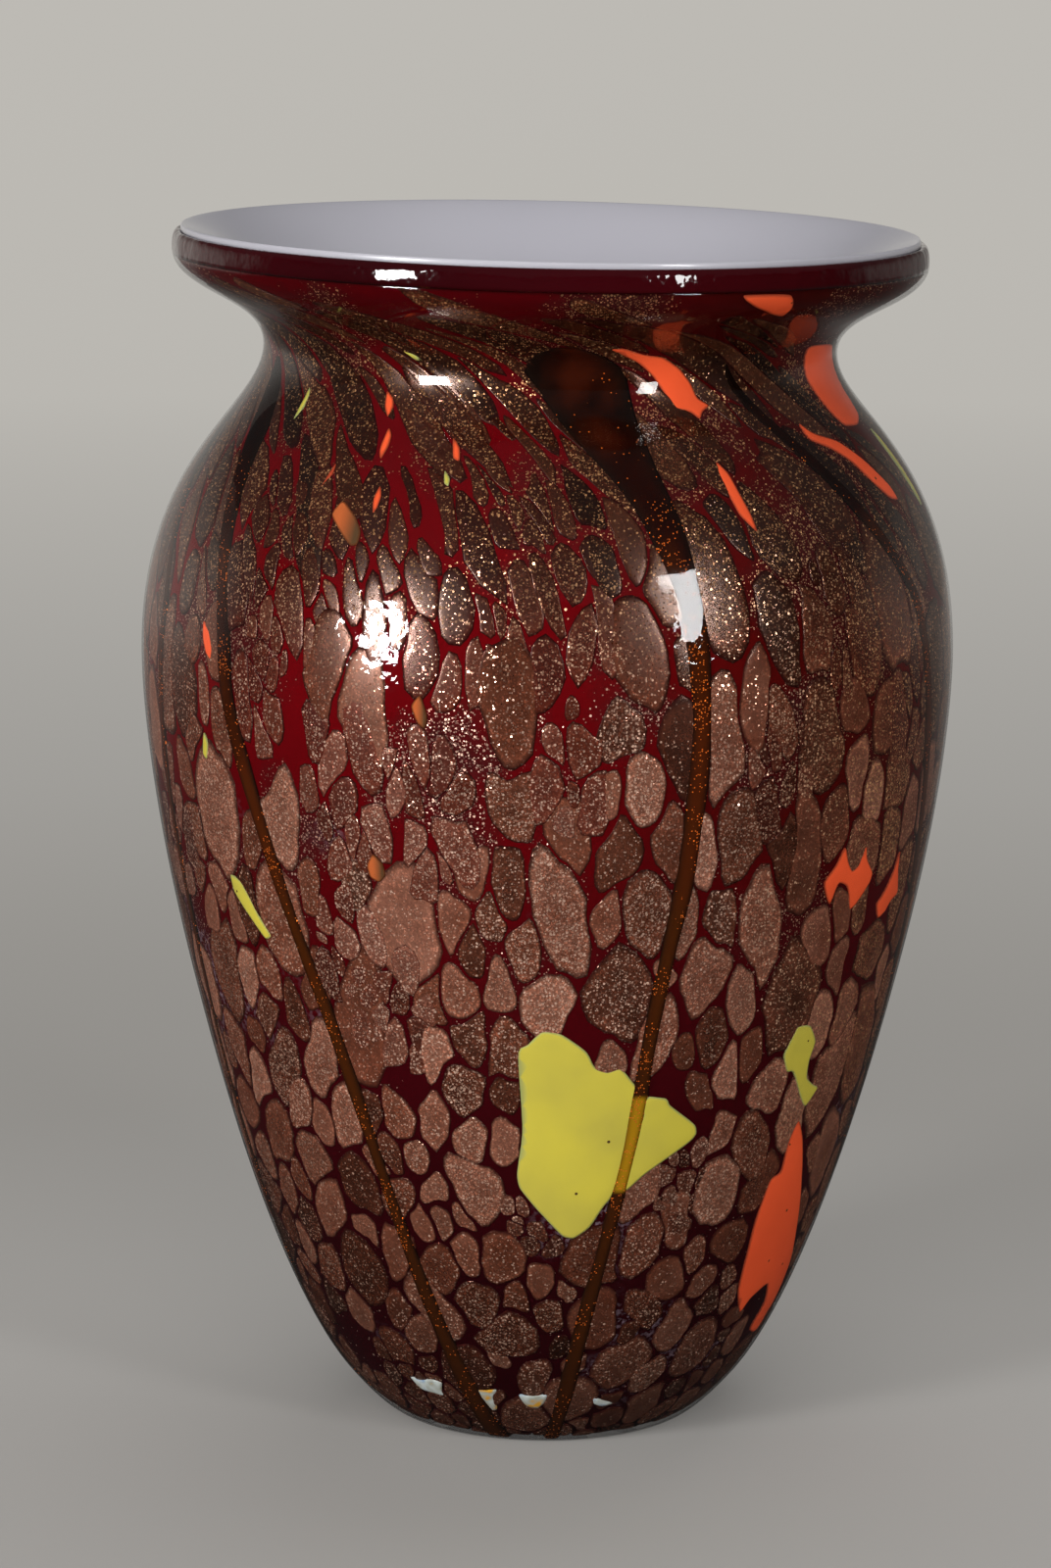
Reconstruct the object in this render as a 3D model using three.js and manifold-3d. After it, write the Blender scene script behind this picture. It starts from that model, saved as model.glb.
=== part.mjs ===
// A blown glass vase, built as fused layers of glass round one upright axis.
// From the inside out: opal liner, ruby casing, aventurine coat with trails and fragments, clear casing.
// Millimetres and degrees, +Z up, origin on the axis at the foot. Angle 0 faces -Y, and grows towards +X.
import * as THREE from 'three';
import { mergeVertices } from 'three/addons/utils/BufferGeometryUtils.js';
import Module from 'manifold-3d';

// Outside shape. The neck, the lip's widest line and the coat's top edge are measured down from the rim.
const HEIGHT = 250;
const FOOT_FLAT_R = 31;
const FOOT_CORNER_R = 42;
const FOOT_CORNER_Z = 9.4;
const BELLY_R = 84.5;
const BELLY_Z = 0.652 * HEIGHT;
const NECK_R = 59.4;
const NECK_DEPTH = 24;
const NECK_Z = HEIGHT - NECK_DEPTH;
const LIP_R = 78;
const LIP_DEPTH = 5;
const LIP_Z = HEIGHT - LIP_DEPTH;
const LIP_ROUND = 1.4;
const LIP_INSET = 2.4;
const MOUTH_R = LIP_R - LIP_INSET;
const COAT_EDGE_DEPTH = 6;
const COAT_TOP_Z = HEIGHT - COAT_EDGE_DEPTH;

// Bends of the outline: slopes in degrees, and how far each end's pull reaches, as a share of its stretch's
// rise
const FLANK_SLOPE = 50;
const MOUTH_SLOPE = 22;
const FLANK_LOW_PULL = 0.202 * (BELLY_Z - FOOT_CORNER_Z);
const FLANK_HIGH_PULL = 0.244 * (BELLY_Z - FOOT_CORNER_Z);
const SHOULDER_LOW_PULL = 0.667 * (NECK_Z - BELLY_Z);
const SHOULDER_HIGH_PULL = 0.206 * (NECK_Z - BELLY_Z);
const NECK_PULL = 0.516 * (LIP_Z - NECK_Z);
const LIP_PULL = 0.437 * (LIP_Z - NECK_Z);
const MOUTH_PULL = 0.417 * NECK_DEPTH;

// Layers of the wall, and the clear foot under them
const OPAL_THICK = 1.6;
const RUBY_THICK = 1.2;
const COAT_THICK = 1.2;
const CLEAR_THICK = 1.6;
const LAYER_GAP = 0.3;
const FLOOR_Z = 14;
const FLOOR_RISE = 10;
const FLOOR_FLAT_SHARE = 0.6;

// Trails, and the unit in which the fragments' outlines are drawn
const TRAIL_W = 2.6;
const TRAIL_END_R = 13;
const CHIP_UNIT = 1;

// Fineness of the faceted solids
const ROUND_STEPS = 32;
const CORNER_STEPS = 2;
const FLANK_STEPS = 4;
const SHOULDER_STEPS = 5;
const MOUTH_STEPS = 4;
const LIP_STEPS = 3;
const PLATE_RING_STEP = 6.5;

const WALL = OPAL_THICK + RUBY_THICK + COAT_THICK + CLEAR_THICK + 3 * LAYER_GAP;
const rad = THREE.MathUtils.degToRad;

const MATERIALS = {
  opal: { color: 0xaeb0c4, roughness: 0.12, metalness: 0 },
  ruby: { color: 0x6a0610, roughness: 0.06, metalness: 0 },
  aventurine: { color: 0x84573f, roughness: 0.3, metalness: 0.45 },
  amber: { color: 0x2a1206, roughness: 0.06, metalness: 0 },
  yellow: { color: 0xb4a53c, roughness: 0.1, metalness: 0 },
  orange: { color: 0xd7502d, roughness: 0.1, metalness: 0 },
  crystal: { color: 0xdfe6e2, roughness: 0.03, metalness: 0, transparent: true, opacity: 0.2 },
};

// Outlines
const outsideFlank = bezier(
  [FOOT_CORNER_R, FOOT_CORNER_Z],
  [Math.cos(rad(FLANK_SLOPE)) * FLANK_LOW_PULL, Math.sin(rad(FLANK_SLOPE)) * FLANK_LOW_PULL],
  [0, -FLANK_HIGH_PULL],
  [BELLY_R, BELLY_Z],
);
const outsideShoulder = bezier(
  [BELLY_R, BELLY_Z],
  [0, SHOULDER_LOW_PULL],
  [0, -SHOULDER_HIGH_PULL],
  [NECK_R, NECK_Z],
);
const outsideLip = bezier([NECK_R, NECK_Z], [0, NECK_PULL], [0, -LIP_PULL], [LIP_R, LIP_Z]);
const mouthDirection = [Math.cos(rad(MOUTH_SLOPE)), Math.sin(rad(MOUTH_SLOPE))];
const insideMouth = bezier(
  [NECK_R - WALL, NECK_Z],
  [0, MOUTH_PULL],
  [-mouthDirection[0] * MOUTH_PULL, -mouthDirection[1] * MOUTH_PULL],
  [MOUTH_R, HEIGHT],
);

function bezier(start, startPull, endPull, end) {
  return new THREE.CubicBezierCurve(
    new THREE.Vector2(...start),
    new THREE.Vector2(start[0] + startPull[0], start[1] + startPull[1]),
    new THREE.Vector2(end[0] + endPull[0], end[1] + endPull[1]),
    new THREE.Vector2(...end),
  );
}

// A curve's points from share t0 on, each moved square to the curve, to the left of its direction.
function besideCurve(curve, distance, steps, t0 = 0) {
  const points = [];
  for (let i = 0; i <= steps; i += 1) {
    const t = t0 + ((1 - t0) * i) / steps;
    const direction = curve.getTangent(t);
    points.push(curve.getPoint(t).add(new THREE.Vector2(-direction.y, direction.x).multiplyScalar(distance)));
  }
  return points;
}

// The share of the flank curve at which it is as high as z.
function flankShareAt(z) {
  let low = 0;
  let high = 1;
  while (high - low > 1e-6) {
    const middle = (low + high) / 2;
    if (outsideFlank.getPoint(middle).y < z) low = middle;
    else high = middle;
  }
  return high;
}

// A surface inside the wall, this deep under the outside, from the axis over the floor and up to the lip.
function skin(depth) {
  const height = FLOOR_Z - (WALL - depth);
  const flank = besideCurve(outsideFlank, depth, FLANK_STEPS, flankShareAt(FLOOR_Z + FLOOR_RISE));
  const rise = flank[1].clone().sub(flank[0]);
  const bendR = flank[0].x - (rise.x / rise.y) * (flank[0].y - height);
  const corner = new THREE.QuadraticBezierCurve(
    new THREE.Vector2(bendR * FLOOR_FLAT_SHARE, height),
    new THREE.Vector2(bendR, height),
    flank[0],
  );
  return [
    new THREE.Vector2(0, height),
    ...corner.getPoints(CORNER_STEPS),
    ...flank.slice(1),
    ...besideCurve(outsideShoulder, depth, SHOULDER_STEPS).slice(1),
    ...besideCurve(insideMouth, depth - WALL, MOUTH_STEPS).slice(1),
  ];
}

function outside() {
  const foot = new THREE.Vector2(FOOT_FLAT_R, 0);
  const bendR = FOOT_CORNER_R - FOOT_CORNER_Z / Math.tan(rad(FLANK_SLOPE));
  const corner = new THREE.QuadraticBezierCurve(
    foot,
    new THREE.Vector2(bendR, 0),
    new THREE.Vector2(FOOT_CORNER_R, FOOT_CORNER_Z),
  );
  return [
    new THREE.Vector2(0, 0),
    ...corner.getPoints(CORNER_STEPS),
    ...outsideFlank.getPoints(FLANK_STEPS + 1).slice(1),
    ...outsideShoulder.getPoints(SHOULDER_STEPS).slice(1),
    ...outsideLip.getPoints(MOUTH_STEPS).slice(1),
  ];
}

// A face's radius at this height. Above its last point, its last stretch runs on.
function radiusAt(points, z) {
  const next = points.findIndex((p) => p.y >= z);
  const i = next > 0 ? next : points.length - 1;
  const [a, b] = [points[i - 1], points[i]];
  return a.x + ((b.x - a.x) * (z - a.y)) / (b.y - a.y);
}

function below(points, z) {
  return [...points.filter((p) => p.y < z - LAYER_GAP), new THREE.Vector2(radiusAt(points, z), z)];
}

function above(points, z) {
  return [new THREE.Vector2(radiusAt(points, z), z), ...points.filter((p) => p.y > z + LAYER_GAP)];
}

// Depth of each layer's faces under the outside
const coatOuter = CLEAR_THICK + LAYER_GAP;
const coatInner = coatOuter + COAT_THICK;
const rubyOuter = coatInner + LAYER_GAP;
const rubyInner = rubyOuter + RUBY_THICK;
const opalOuter = rubyInner + LAYER_GAP;

// Solids of revolution: the outer face's points run up, and the inner face's points run back down.
function turned(outerPoints, innerPoints, closed = false) {
  const profile = [...outerPoints, ...[...innerPoints].reverse()];
  if (closed) profile.push(profile[0].clone());
  const geometry = new THREE.LatheGeometry(profile, ROUND_STEPS);
  geometry.rotateX(Math.PI / 2);
  return bare(geometry);
}

function bare(geometry) {
  geometry.deleteAttribute('uv');
  geometry.deleteAttribute('normal');
  return mergeVertices(geometry, 1e-4);
}

function opalLiner() {
  return turned(skin(opalOuter), skin(WALL));
}

function rubyCasing() {
  return turned(below(skin(rubyOuter), COAT_TOP_Z), below(skin(rubyInner), COAT_TOP_Z));
}

function aventurineCoat() {
  return turned(below(skin(coatOuter), COAT_TOP_Z), below(skin(coatInner), COAT_TOP_Z));
}

function crystalCasing() {
  return turned(below(outside(), COAT_TOP_Z), below(skin(CLEAR_THICK), COAT_TOP_Z));
}

// The ruby lip closes off the other layers' top edges, and leaves the opal's edge bare.
function lipWrap() {
  const start = COAT_TOP_Z + LAYER_GAP;
  const inner = above(skin(rubyInner), start);
  const top = inner.at(-1);
  const round = new THREE.QuadraticBezierCurve(
    new THREE.Vector2(LIP_R, LIP_Z),
    new THREE.Vector2(LIP_R, top.y + LIP_ROUND / 2),
    top,
  );
  return turned([...above(outside(), start), ...round.getPoints(LIP_STEPS).slice(1, -1)], inner, true);
}

// Cutters reach through the whole wall, so that they pass right through the coat on curved stretches too.
const cutterOuter = skin(0);
const cutterInner = skin(WALL);

function onWall(points, angle, z) {
  const r = radiusAt(points, z);
  return [r * Math.sin(angle), -r * Math.cos(angle), z];
}

function bodyFrom(vertices, triangles) {
  const geometry = new THREE.BufferGeometry();
  geometry.setAttribute('position', new THREE.Float32BufferAttribute(vertices.flat(), 3));
  geometry.setIndex(triangles.flat());
  return geometry;
}

// An outline, listed clockwise, with each point moved outwards by clearance.
function widened(outline, clearance) {
  return outline.map(([across, up], i) => {
    const before = outline[(i + outline.length - 1) % outline.length];
    const after = outline[(i + 1) % outline.length];
    const outward = new THREE.Vector2(before[1] - after[1], after[0] - before[0]).setLength(clearance);
    return new THREE.Vector2(across, up).add(outward);
  });
}

// A plate whose outline goes round (angle, z). The outline's points are [across, up] from there.
// Rings of points inside its edge bend it with the wall.
function plate(spot, clearance) {
  const outline = spot.outline.map(([across, up]) => [across * CHIP_UNIT, up * CHIP_UNIT]);
  const edge = widened(outline, clearance);
  const z = spot.rise * HEIGHT;
  const middleR = radiusAt(skin(coatOuter), z);
  const count = edge.length;
  const reach = Math.max(...outline.map(([across, up]) => Math.hypot(across, up)));
  const ringCount = Math.ceil(reach / PLATE_RING_STEP);
  const vertices = [];
  const triangles = [];
  for (const face of [cutterOuter, cutterInner]) {
    vertices.push(onWall(face, rad(spot.angle), z));
    for (let ring = 1; ring <= ringCount; ring += 1) {
      for (const p of edge) {
        const share = ring / ringCount;
        vertices.push(onWall(face, rad(spot.angle) + (p.x * share) / middleR, z + p.y * share));
      }
    }
  }
  const inner = 1 + ringCount * count;
  const rim = 1 + (ringCount - 1) * count;
  for (let i = 0; i < count; i += 1) {
    const j = (i + 1) % count;
    triangles.push([0, 1 + j, 1 + i], [inner, inner + 1 + i, inner + 1 + j]);
    for (let start = 1; start < rim; start += count) {
      const [a, b, c, d] = [start + i, start + j, start + count + i, start + count + j];
      triangles.push([a, b, d], [a, d, c]);
      triangles.push([inner + a, inner + d, inner + b], [inner + a, inner + c, inner + d]);
    }
    const [e, f] = [rim + i, rim + j];
    triangles.push([e, f, inner + f], [e, inner + f, inner + e]);
  }
  return bodyFrom(vertices, triangles);
}

// A trail runs from under the floor up to the neck. Its angles, and its widths as multiples of TRAIL_W,
// are given at these shares of the neck's height.
const TRAIL_LEVELS = [0, 0.26, 0.53, 0.8, 0.91, 1];
const TRAILS = [
  { angles: [-16, -29, -40.5, -52.5, -59, -71.5], widths: [1.9, 1.1, 1.4, 1.9, 3.6, 4.6] },
  { angles: [3, 12.8, 18.7, 20.2, 15.2, 5.2], widths: [1.3, 1.2, 1.4, 1.8, 4, 8.2] },
  { angles: [92, 84, 73, 63.5, 50, 36], widths: [1.2, 1.3, 1.4, 1.6, 1.5, 1.2] },
  { angles: [-78, -73, -70, -69.5, -80, -94], widths: [0.9, 0.9, 0.9, 1, 1.8, 2.4] },
  { angles: [128, 131, 122, 114, 104, 92], widths: [1.1, 1, 1, 1.2, 1.6, 2.4] },
  { angles: [176, 170, 164, 166, 154, 142], widths: [1.2, 1.1, 1.2, 1.4, 3, 4.6] },
  { angles: [-130, -134, -126, -120, -131, -144], widths: [1.1, 1, 1, 1.2, 2, 2.8] },
];

function atLevel(values, z) {
  const level = THREE.MathUtils.clamp(z / NECK_Z, 0, 1);
  const i = Math.max(1, TRAIL_LEVELS.findIndex((edge) => edge >= level));
  const share = (level - TRAIL_LEVELS[i - 1]) / (TRAIL_LEVELS[i] - TRAIL_LEVELS[i - 1]);
  return THREE.MathUtils.lerp(values[i - 1], values[i], share);
}

// A face's points from TRAIL_END_R on the floor up to the neck
const TRAIL_STEPS = 1 + CORNER_STEPS + FLANK_STEPS + SHOULDER_STEPS;
function trailFace(points) {
  return [new THREE.Vector2(TRAIL_END_R, points[0].y), ...points.slice(1, 1 + TRAIL_STEPS)];
}

function strip(trail, clearance) {
  const faces = [trailFace(cutterOuter), trailFace(cutterInner)];
  const route = trailFace(skin(coatOuter));
  const vertices = [];
  const triangles = [];
  for (let i = 0; i <= TRAIL_STEPS; i += 1) {
    const angle = rad(atLevel(trail.angles, route[i].y));
    const halfWidth = (TRAIL_W * atLevel(trail.widths, route[i].y)) / 2 + clearance;
    for (const [face, side] of [[0, -1], [0, 1], [1, 1], [1, -1]]) {
      const p = faces[face][i];
      const end = i === 0 ? -clearance : i === TRAIL_STEPS ? clearance : 0;
      const turn = angle + (side * halfWidth) / route[i].x;
      const r = i === 0 ? p.x + end : p.x;
      vertices.push([r * Math.sin(turn), -r * Math.cos(turn), i === 0 ? p.y : p.y + end]);
    }
  }
  for (let i = 0; i < TRAIL_STEPS; i += 1) {
    for (let k = 0; k < 4; k += 1) {
      const [a, b] = [4 * i + k, 4 * i + ((k + 1) % 4)];
      triangles.push([a, b, b + 4], [a, b + 4, a + 4]);
    }
  }
  const last = 4 * TRAIL_STEPS;
  triangles.push([0, 2, 1], [0, 3, 2], [last, last + 1, last + 2], [last, last + 2, last + 3]);
  return bodyFrom(vertices, triangles);
}

// A pointed pod shape, its top leaning to the right by lean degrees
function pod(length, width, lean = 0) {
  const points = [];
  for (let i = 0; i < 8; i += 1) {
    const turn = (i / 8) * 2 * Math.PI;
    const p = new THREE.Vector2((Math.sin(turn) * width) / 2, (Math.cos(turn) * length) / 2);
    p.rotateAround(new THREE.Vector2(), -rad(lean));
    points.push([p.x, p.y]);
  }
  return points;
}

const LEFT_LOBE = [
  [-10.5, 21], [-6.5, 23.5], [1, 21.4], [7.3, 15], [9.6, 9], [9.2, -5], [6.4, -15],
  [3.6, -21], [-0.5, -22.7], [-6.6, -16.4], [-11, -9.8], [-10.6, 8.6],
];
const RIGHT_LOBE = [[-2.8, 8.6], [1.2, 7.8], [7.4, 1.1], [3.4, -4.6], [-3.8, -11.4], [-3, -1]];
const TALL_FLAME = [
  [-5.3, 25], [-2, 20], [1, 12], [6.5, 3.7], [12, -8], [10, -18], [4, -22], [-3.5, -20],
  [-9, -11], [-10.2, 0], [-9.8, 11], [-7.4, 19],
];
const STAR = [[-7.2, 0.4], [-4, 7], [0, 3], [3, 6.5], [5, 0.5], [9, -3.2], [0.4, -6.4]];
const CORAL = [[-9, 9], [-1, 8.6], [7, 5], [11, -2], [8, -9], [-1, -5.5], [-6, 2]];
const WEDGE = [[-7, 1], [2, 1.4], [5, -1], [4, -3.8], [-1.8, -3.4]];

// Where the fragments lie: their angle, and their middle's rise as a share of the height
const YELLOW_CHIPS = [
  { angle: 4.8, rise: 0.3, outline: LEFT_LOBE },
  { angle: 21.5, rise: 0.296, outline: RIGHT_LOBE },
  { angle: 48.2, rise: 0.34, outline: [[-4, 9], [0.5, 6], [3.8, -3], [3.2, -10], [0, -5.5], [-5, -1]] },
  { angle: -49, rise: 0.472, outline: pod(17, 2.4, -38) },
  { angle: -56, rise: 0.608, outline: pod(7, 3) },
  { angle: -17, rise: 0.826, outline: pod(6, 2.2, -10) },
  { angle: 80, rise: 0.812, outline: pod(17, 2.6, -12) },
  { angle: 148, rise: 0.368, outline: [[-9, 13], [2, 17], [9, 9], [6, -6], [1, -15], [-7, -8]] },
  { angle: -158, rise: 0.272, outline: [[-7, 6], [0, 10], [8, 5], [5, -7], [-3, -9]] },
  { angle: -102, rise: 0.704, outline: pod(15, 3.4, -18) },
];

const ORANGE_CHIPS = [
  { angle: 56, rise: 0.188, outline: TALL_FLAME },
  { angle: 50, rise: 0.498, outline: STAR },
  { angle: 61, rise: 0.488, outline: pod(14, 2.8, 6) },
  { angle: 35.5, rise: 0.96, outline: WEDGE },
  { angle: 68, rise: 0.884, outline: CORAL },
  { angle: 21, rise: 0.9, outline: pod(21, 4.6, -57) },
  { angle: 30.4, rise: 0.81, outline: pod(15, 3.4, -20) },
  { angle: 60.5, rise: 0.826, outline: pod(22, 2.6, -48) },
  { angle: -31, rise: 0.788, outline: [[-5, 2], [-2.8, 4.6], [1, 2], [3, -1], [2, -3.6], [-1, -1.5]] },
  { angle: -31, rise: 0.878, outline: pod(5.4, 2.2, -14) },
  { angle: -16, rise: 0.848, outline: pod(5, 2.2, -14) },
  { angle: -55, rise: 0.684, outline: pod(8.6, 3.4, -20) },
  { angle: -16.6, rise: 0.652, outline: pod(8, 3.6) },
  { angle: -24.6, rise: 0.524, outline: pod(7, 4.8, 12) },
  { angle: 104, rise: 0.592, outline: pod(18, 5, -8) },
  { angle: 142, rise: 0.752, outline: pod(24, 4.4, -24) },
  { angle: -172, rise: 0.528, outline: [[-6, 8], [1, 12], [6, 4], [4, -9], [-3, -11], [-7, -1]] },
  { angle: -108, rise: 0.408, outline: [[-5, 9], [2, 13], [6, 2], [3, -12], [-4, -8]] },
  { angle: -142, rise: 0.824, outline: pod(16, 4, -34) },
];

const wasm = await Module();
wasm.setup();

function toSolid(geometry) {
  return new wasm.Manifold(new wasm.Mesh({
    numProp: 3,
    vertProperties: new Float32Array(geometry.attributes.position.array),
    triVerts: new Uint32Array(geometry.index.array),
  }));
}

function toGeometry(solid) {
  const mesh = solid.getMesh();
  const geometry = new THREE.BufferGeometry();
  geometry.setAttribute('position', new THREE.BufferAttribute(new Float32Array(mesh.vertProperties), 3));
  geometry.setIndex(new THREE.BufferAttribute(new Uint32Array(mesh.triVerts), 1));
  return geometry;
}

// The coat has a slot for each trail and a window for each fragment, with a gap round what lies there.
const wholeCoat = toSolid(aventurineCoat());
const slottedCoat = cutAway(wholeCoat, TRAILS.map((trail) => strip(trail, LAYER_GAP)));

function cutAway(solid, cutters) {
  return cutters.reduce((left, cutter) => left.subtract(toSolid(cutter)), solid);
}

function keptInside(solid, cutter) {
  return toGeometry(solid.intersect(toSolid(cutter)));
}

const vase = new THREE.Group();

function addPart(name, geometry, material) {
  const mesh = new THREE.Mesh(geometry, new THREE.MeshStandardMaterial(MATERIALS[material]));
  mesh.name = name;
  vase.add(mesh);
}

const windows = [...YELLOW_CHIPS, ...ORANGE_CHIPS].map((spot) => plate(spot, LAYER_GAP));
addPart('opal_liner', opalLiner(), 'opal');
addPart('ruby_casing', rubyCasing(), 'ruby');
addPart('aventurine_coat', toGeometry(cutAway(slottedCoat, windows)), 'aventurine');
addPart('crystal_casing', crystalCasing(), 'crystal');
addPart('lip_wrap', lipWrap(), 'ruby');
TRAILS.forEach((trail, i) => {
  addPart(`trail_${i + 1}`, keptInside(wholeCoat, strip(trail, 0)), 'amber');
});
YELLOW_CHIPS.forEach((spot, i) => {
  addPart(`yellow_chip_${i + 1}`, keptInside(slottedCoat, plate(spot, 0)), 'yellow');
});
ORANGE_CHIPS.forEach((spot, i) => {
  addPart(`orange_chip_${i + 1}`, keptInside(slottedCoat, plate(spot, 0)), 'orange');
});

export default vase;
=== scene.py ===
import math

import bpy
import numpy as np
from mathutils import Matrix, Vector
from mathutils.geometry import delaunay_2d_cdt


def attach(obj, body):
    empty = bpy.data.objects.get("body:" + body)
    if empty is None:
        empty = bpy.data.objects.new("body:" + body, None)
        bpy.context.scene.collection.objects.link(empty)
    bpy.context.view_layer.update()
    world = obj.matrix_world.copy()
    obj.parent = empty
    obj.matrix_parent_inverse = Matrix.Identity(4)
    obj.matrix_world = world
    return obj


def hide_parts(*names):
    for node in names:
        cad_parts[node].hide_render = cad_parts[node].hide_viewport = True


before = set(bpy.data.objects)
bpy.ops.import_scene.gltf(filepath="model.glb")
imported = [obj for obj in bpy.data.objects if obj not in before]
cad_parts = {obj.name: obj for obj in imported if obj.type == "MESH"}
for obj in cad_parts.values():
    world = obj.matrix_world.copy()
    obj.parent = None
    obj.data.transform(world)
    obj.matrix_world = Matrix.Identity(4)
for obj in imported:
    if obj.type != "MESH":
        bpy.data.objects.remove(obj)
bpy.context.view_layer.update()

# Lengths are in millimetres here and become metres when a mesh is made.
# Angles are in degrees, from -Y towards +X.
MM = 0.001
SEED = 41

# The wall, as in the CAD source
HEIGHT = 250.0
FOOT_FLAT_R = 31.0
FOOT_CORNER = (42.0, 9.4)
FLANK_SLOPE = 50.0
FLANK_PULLS = (31.0, 37.5)
BELLY = (84.5, 163.0)
SHOULDER_PULLS = (42.0, 13.0)
NECK = (59.4, 226.0)
LIP = (78.0, 245.0)
LIP_PULLS = (9.8, 8.3)
MOUTH_R = 75.6
MOUTH_SLOPE = 22.0
MOUTH_PULL = 10.0
WALL = 6.5
FLOOR_Z = 14.0
COAT_TOP_Z = 244.0

# How deep each surface looks to lie under the outside. Clear glass bends light so that what it covers
# seems to reach nearly to its outside, so these are less than the solids' own depths.
CLEAR_INNER = 0.1
TRAIL_TOP = 0.16
CHIP_TOP = 0.3
PEBBLE_TOP = 0.42
PEBBLE_UNEVEN = 0.08
GROUND = 0.68
OPAL_OUTER = 4.9
OPAL_EDGE = 0.25
ROUND_STEPS = 224
LIP_TILT = 0.014
TILT_FROM_TO = (208.0, 236.0)


# The wall's two faces, station by station
def bezier(points, steps):
    t = np.linspace(0.0, 1.0, steps + 1)[:, None]
    p = np.array(points, float)
    return (1 - t) ** 3 * p[0] + 3 * (1 - t) ** 2 * t * p[1] + 3 * (1 - t) * t**2 * p[2] + t**3 * p[3]


def outside_face():
    slope = math.radians(FLANK_SLOPE)
    along = np.array([math.cos(slope), math.sin(slope)])
    corner = np.array(FOOT_CORNER)
    bend = corner - along * corner[1] / along[1]
    foot = np.array([[0.0, 0.0], [FOOT_FLAT_R, 0.0]])
    under_neck = (NECK[0], NECK[1] - SHOULDER_PULLS[1])
    return [
        foot[0] + (foot[1] - foot[0]) * np.linspace(0, 1, 13)[:, None],
        bezier([foot[1], foot[1] + (bend - foot[1]) * 0.66, bend + (corner - bend) * 0.34, corner], 16),
        bezier([corner, corner + along * FLANK_PULLS[0], (BELLY[0], BELLY[1] - FLANK_PULLS[1]), BELLY], 90),
        bezier([BELLY, (BELLY[0], BELLY[1] + SHOULDER_PULLS[0]), under_neck, NECK], 60),
        bezier([NECK, (NECK[0], NECK[1] + LIP_PULLS[0]), (LIP[0], LIP[1] - LIP_PULLS[1]), LIP], 30),
    ]


def inside_face():
    foot, corner, flank, shoulder, _ = outside_face()
    slope = math.radians(MOUTH_SLOPE)
    neck = np.array([NECK[0] - WALL, NECK[1]])
    rim = np.array([MOUTH_R, HEIGHT])
    end_pull = np.array([math.cos(slope), math.sin(slope)]) * MOUTH_PULL
    lip = bezier([neck, neck + [0, MOUTH_PULL], rim - end_pull, rim], 30)
    side = []
    for part in (flank, shoulder):
        way = np.gradient(part, axis=0)
        way /= np.linalg.norm(way, axis=1)[:, None]
        side.append(part + np.stack([-way[:, 1], way[:, 0]], axis=1) * WALL)
    low = side[0][0]
    share = np.linspace(0, 1, len(foot) + len(corner) - 1)[:, None]
    floor = np.array([0, FLOOR_Z]) * (1 - share) ** 2 + 2 * share * (1 - share) * np.array([low[0], FLOOR_Z])
    floor = floor + share**2 * (low + [0, max(0.0, FLOOR_Z - low[1])])
    side[0][:, 1] = np.maximum(side[0][:, 1], FLOOR_Z)
    return [floor[: len(foot)], floor[len(foot) - 1 :], side[0], side[1], lip]


def joined(parts):
    return np.concatenate([parts[0]] + [p[1:] for p in parts[1:]])


OUTER = joined(outside_face())
INNER = joined(inside_face())


def face_at(depth):
    return OUTER + (INNER - OUTER) * (depth / WALL)


# Lengths along the coat, from the axis under the foot to the lip
coat = face_at(PEBBLE_TOP)
STATION_S = np.concatenate([[0.0], np.cumsum(np.linalg.norm(np.diff(coat, axis=0), axis=1))])
S_TOP = float(np.interp(COAT_TOP_Z, coat[-91:, 1], STATION_S[-91:]))


def s_at_height(z):
    return np.interp(z, coat[12:, 1], STATION_S[12:])


def height_at_s(s):
    return np.interp(s, STATION_S, coat[:, 1])


def radius_at_s(s):
    return np.interp(s, STATION_S, coat[:, 0])


def radius_at_height(z):
    return float(radius_at_s(s_at_height(z)))


def on_wall(angle, s, depth):
    """Points of the wall, in millimetres. Angle is in radians, s a length along the coat."""
    share = np.asarray(depth) / WALL
    outer, inner = [[np.interp(s, STATION_S, face[:, i]) for i in (0, 1)] for face in (OUTER, INNER)]
    r, z = [a * (1 - share) + b * share for a, b in zip(outer, inner)]
    return np.stack([r * np.sin(angle), -r * np.cos(angle), z], axis=-1)


def smooth_share(value, start, end):
    share = np.clip((value - start) / (end - start), 0, 1)
    return share * share * (3 - 2 * share)


def by_hand(points):
    """The hand-made wall isn't quite round, and its lip hangs a little lower on the right."""
    points = np.array(points, float)
    x, y, z = points.T
    angle, radius = np.arctan2(x, -y), np.hypot(x, y)
    wave = 0.10 * np.sin(2 * angle + z / 31) + 0.06 * np.sin(5 * angle + z / 17)
    wave = wave + 0.04 * np.sin(9 * angle - z / 11)
    stretch = 1 + wave * smooth_share(radius, 20.0, 60.0) / np.maximum(radius, 20.0)
    sink = LIP_TILT * x * smooth_share(z, *TILT_FROM_TO)
    return np.stack([x * stretch, y * stretch, z - sink], axis=1)


# Meshes
def piece_from(name, vertices, faces, nodes, material, values=None):
    mesh = bpy.data.meshes.new(name)
    mesh.from_pydata((by_hand(vertices) * MM).tolist(), [], faces)
    mesh.validate()
    mesh.shade_smooth()
    for key, numbers in (values or {}).items():
        mesh.attributes.new(key, "FLOAT", "POINT").data.foreach_set("value", np.asarray(numbers, np.float32))
    mesh.materials.append(material)
    piece = bpy.data.objects.new(name, mesh)
    bpy.context.collection.objects.link(piece)
    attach(piece, "root")
    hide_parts(*nodes)
    return piece


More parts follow.
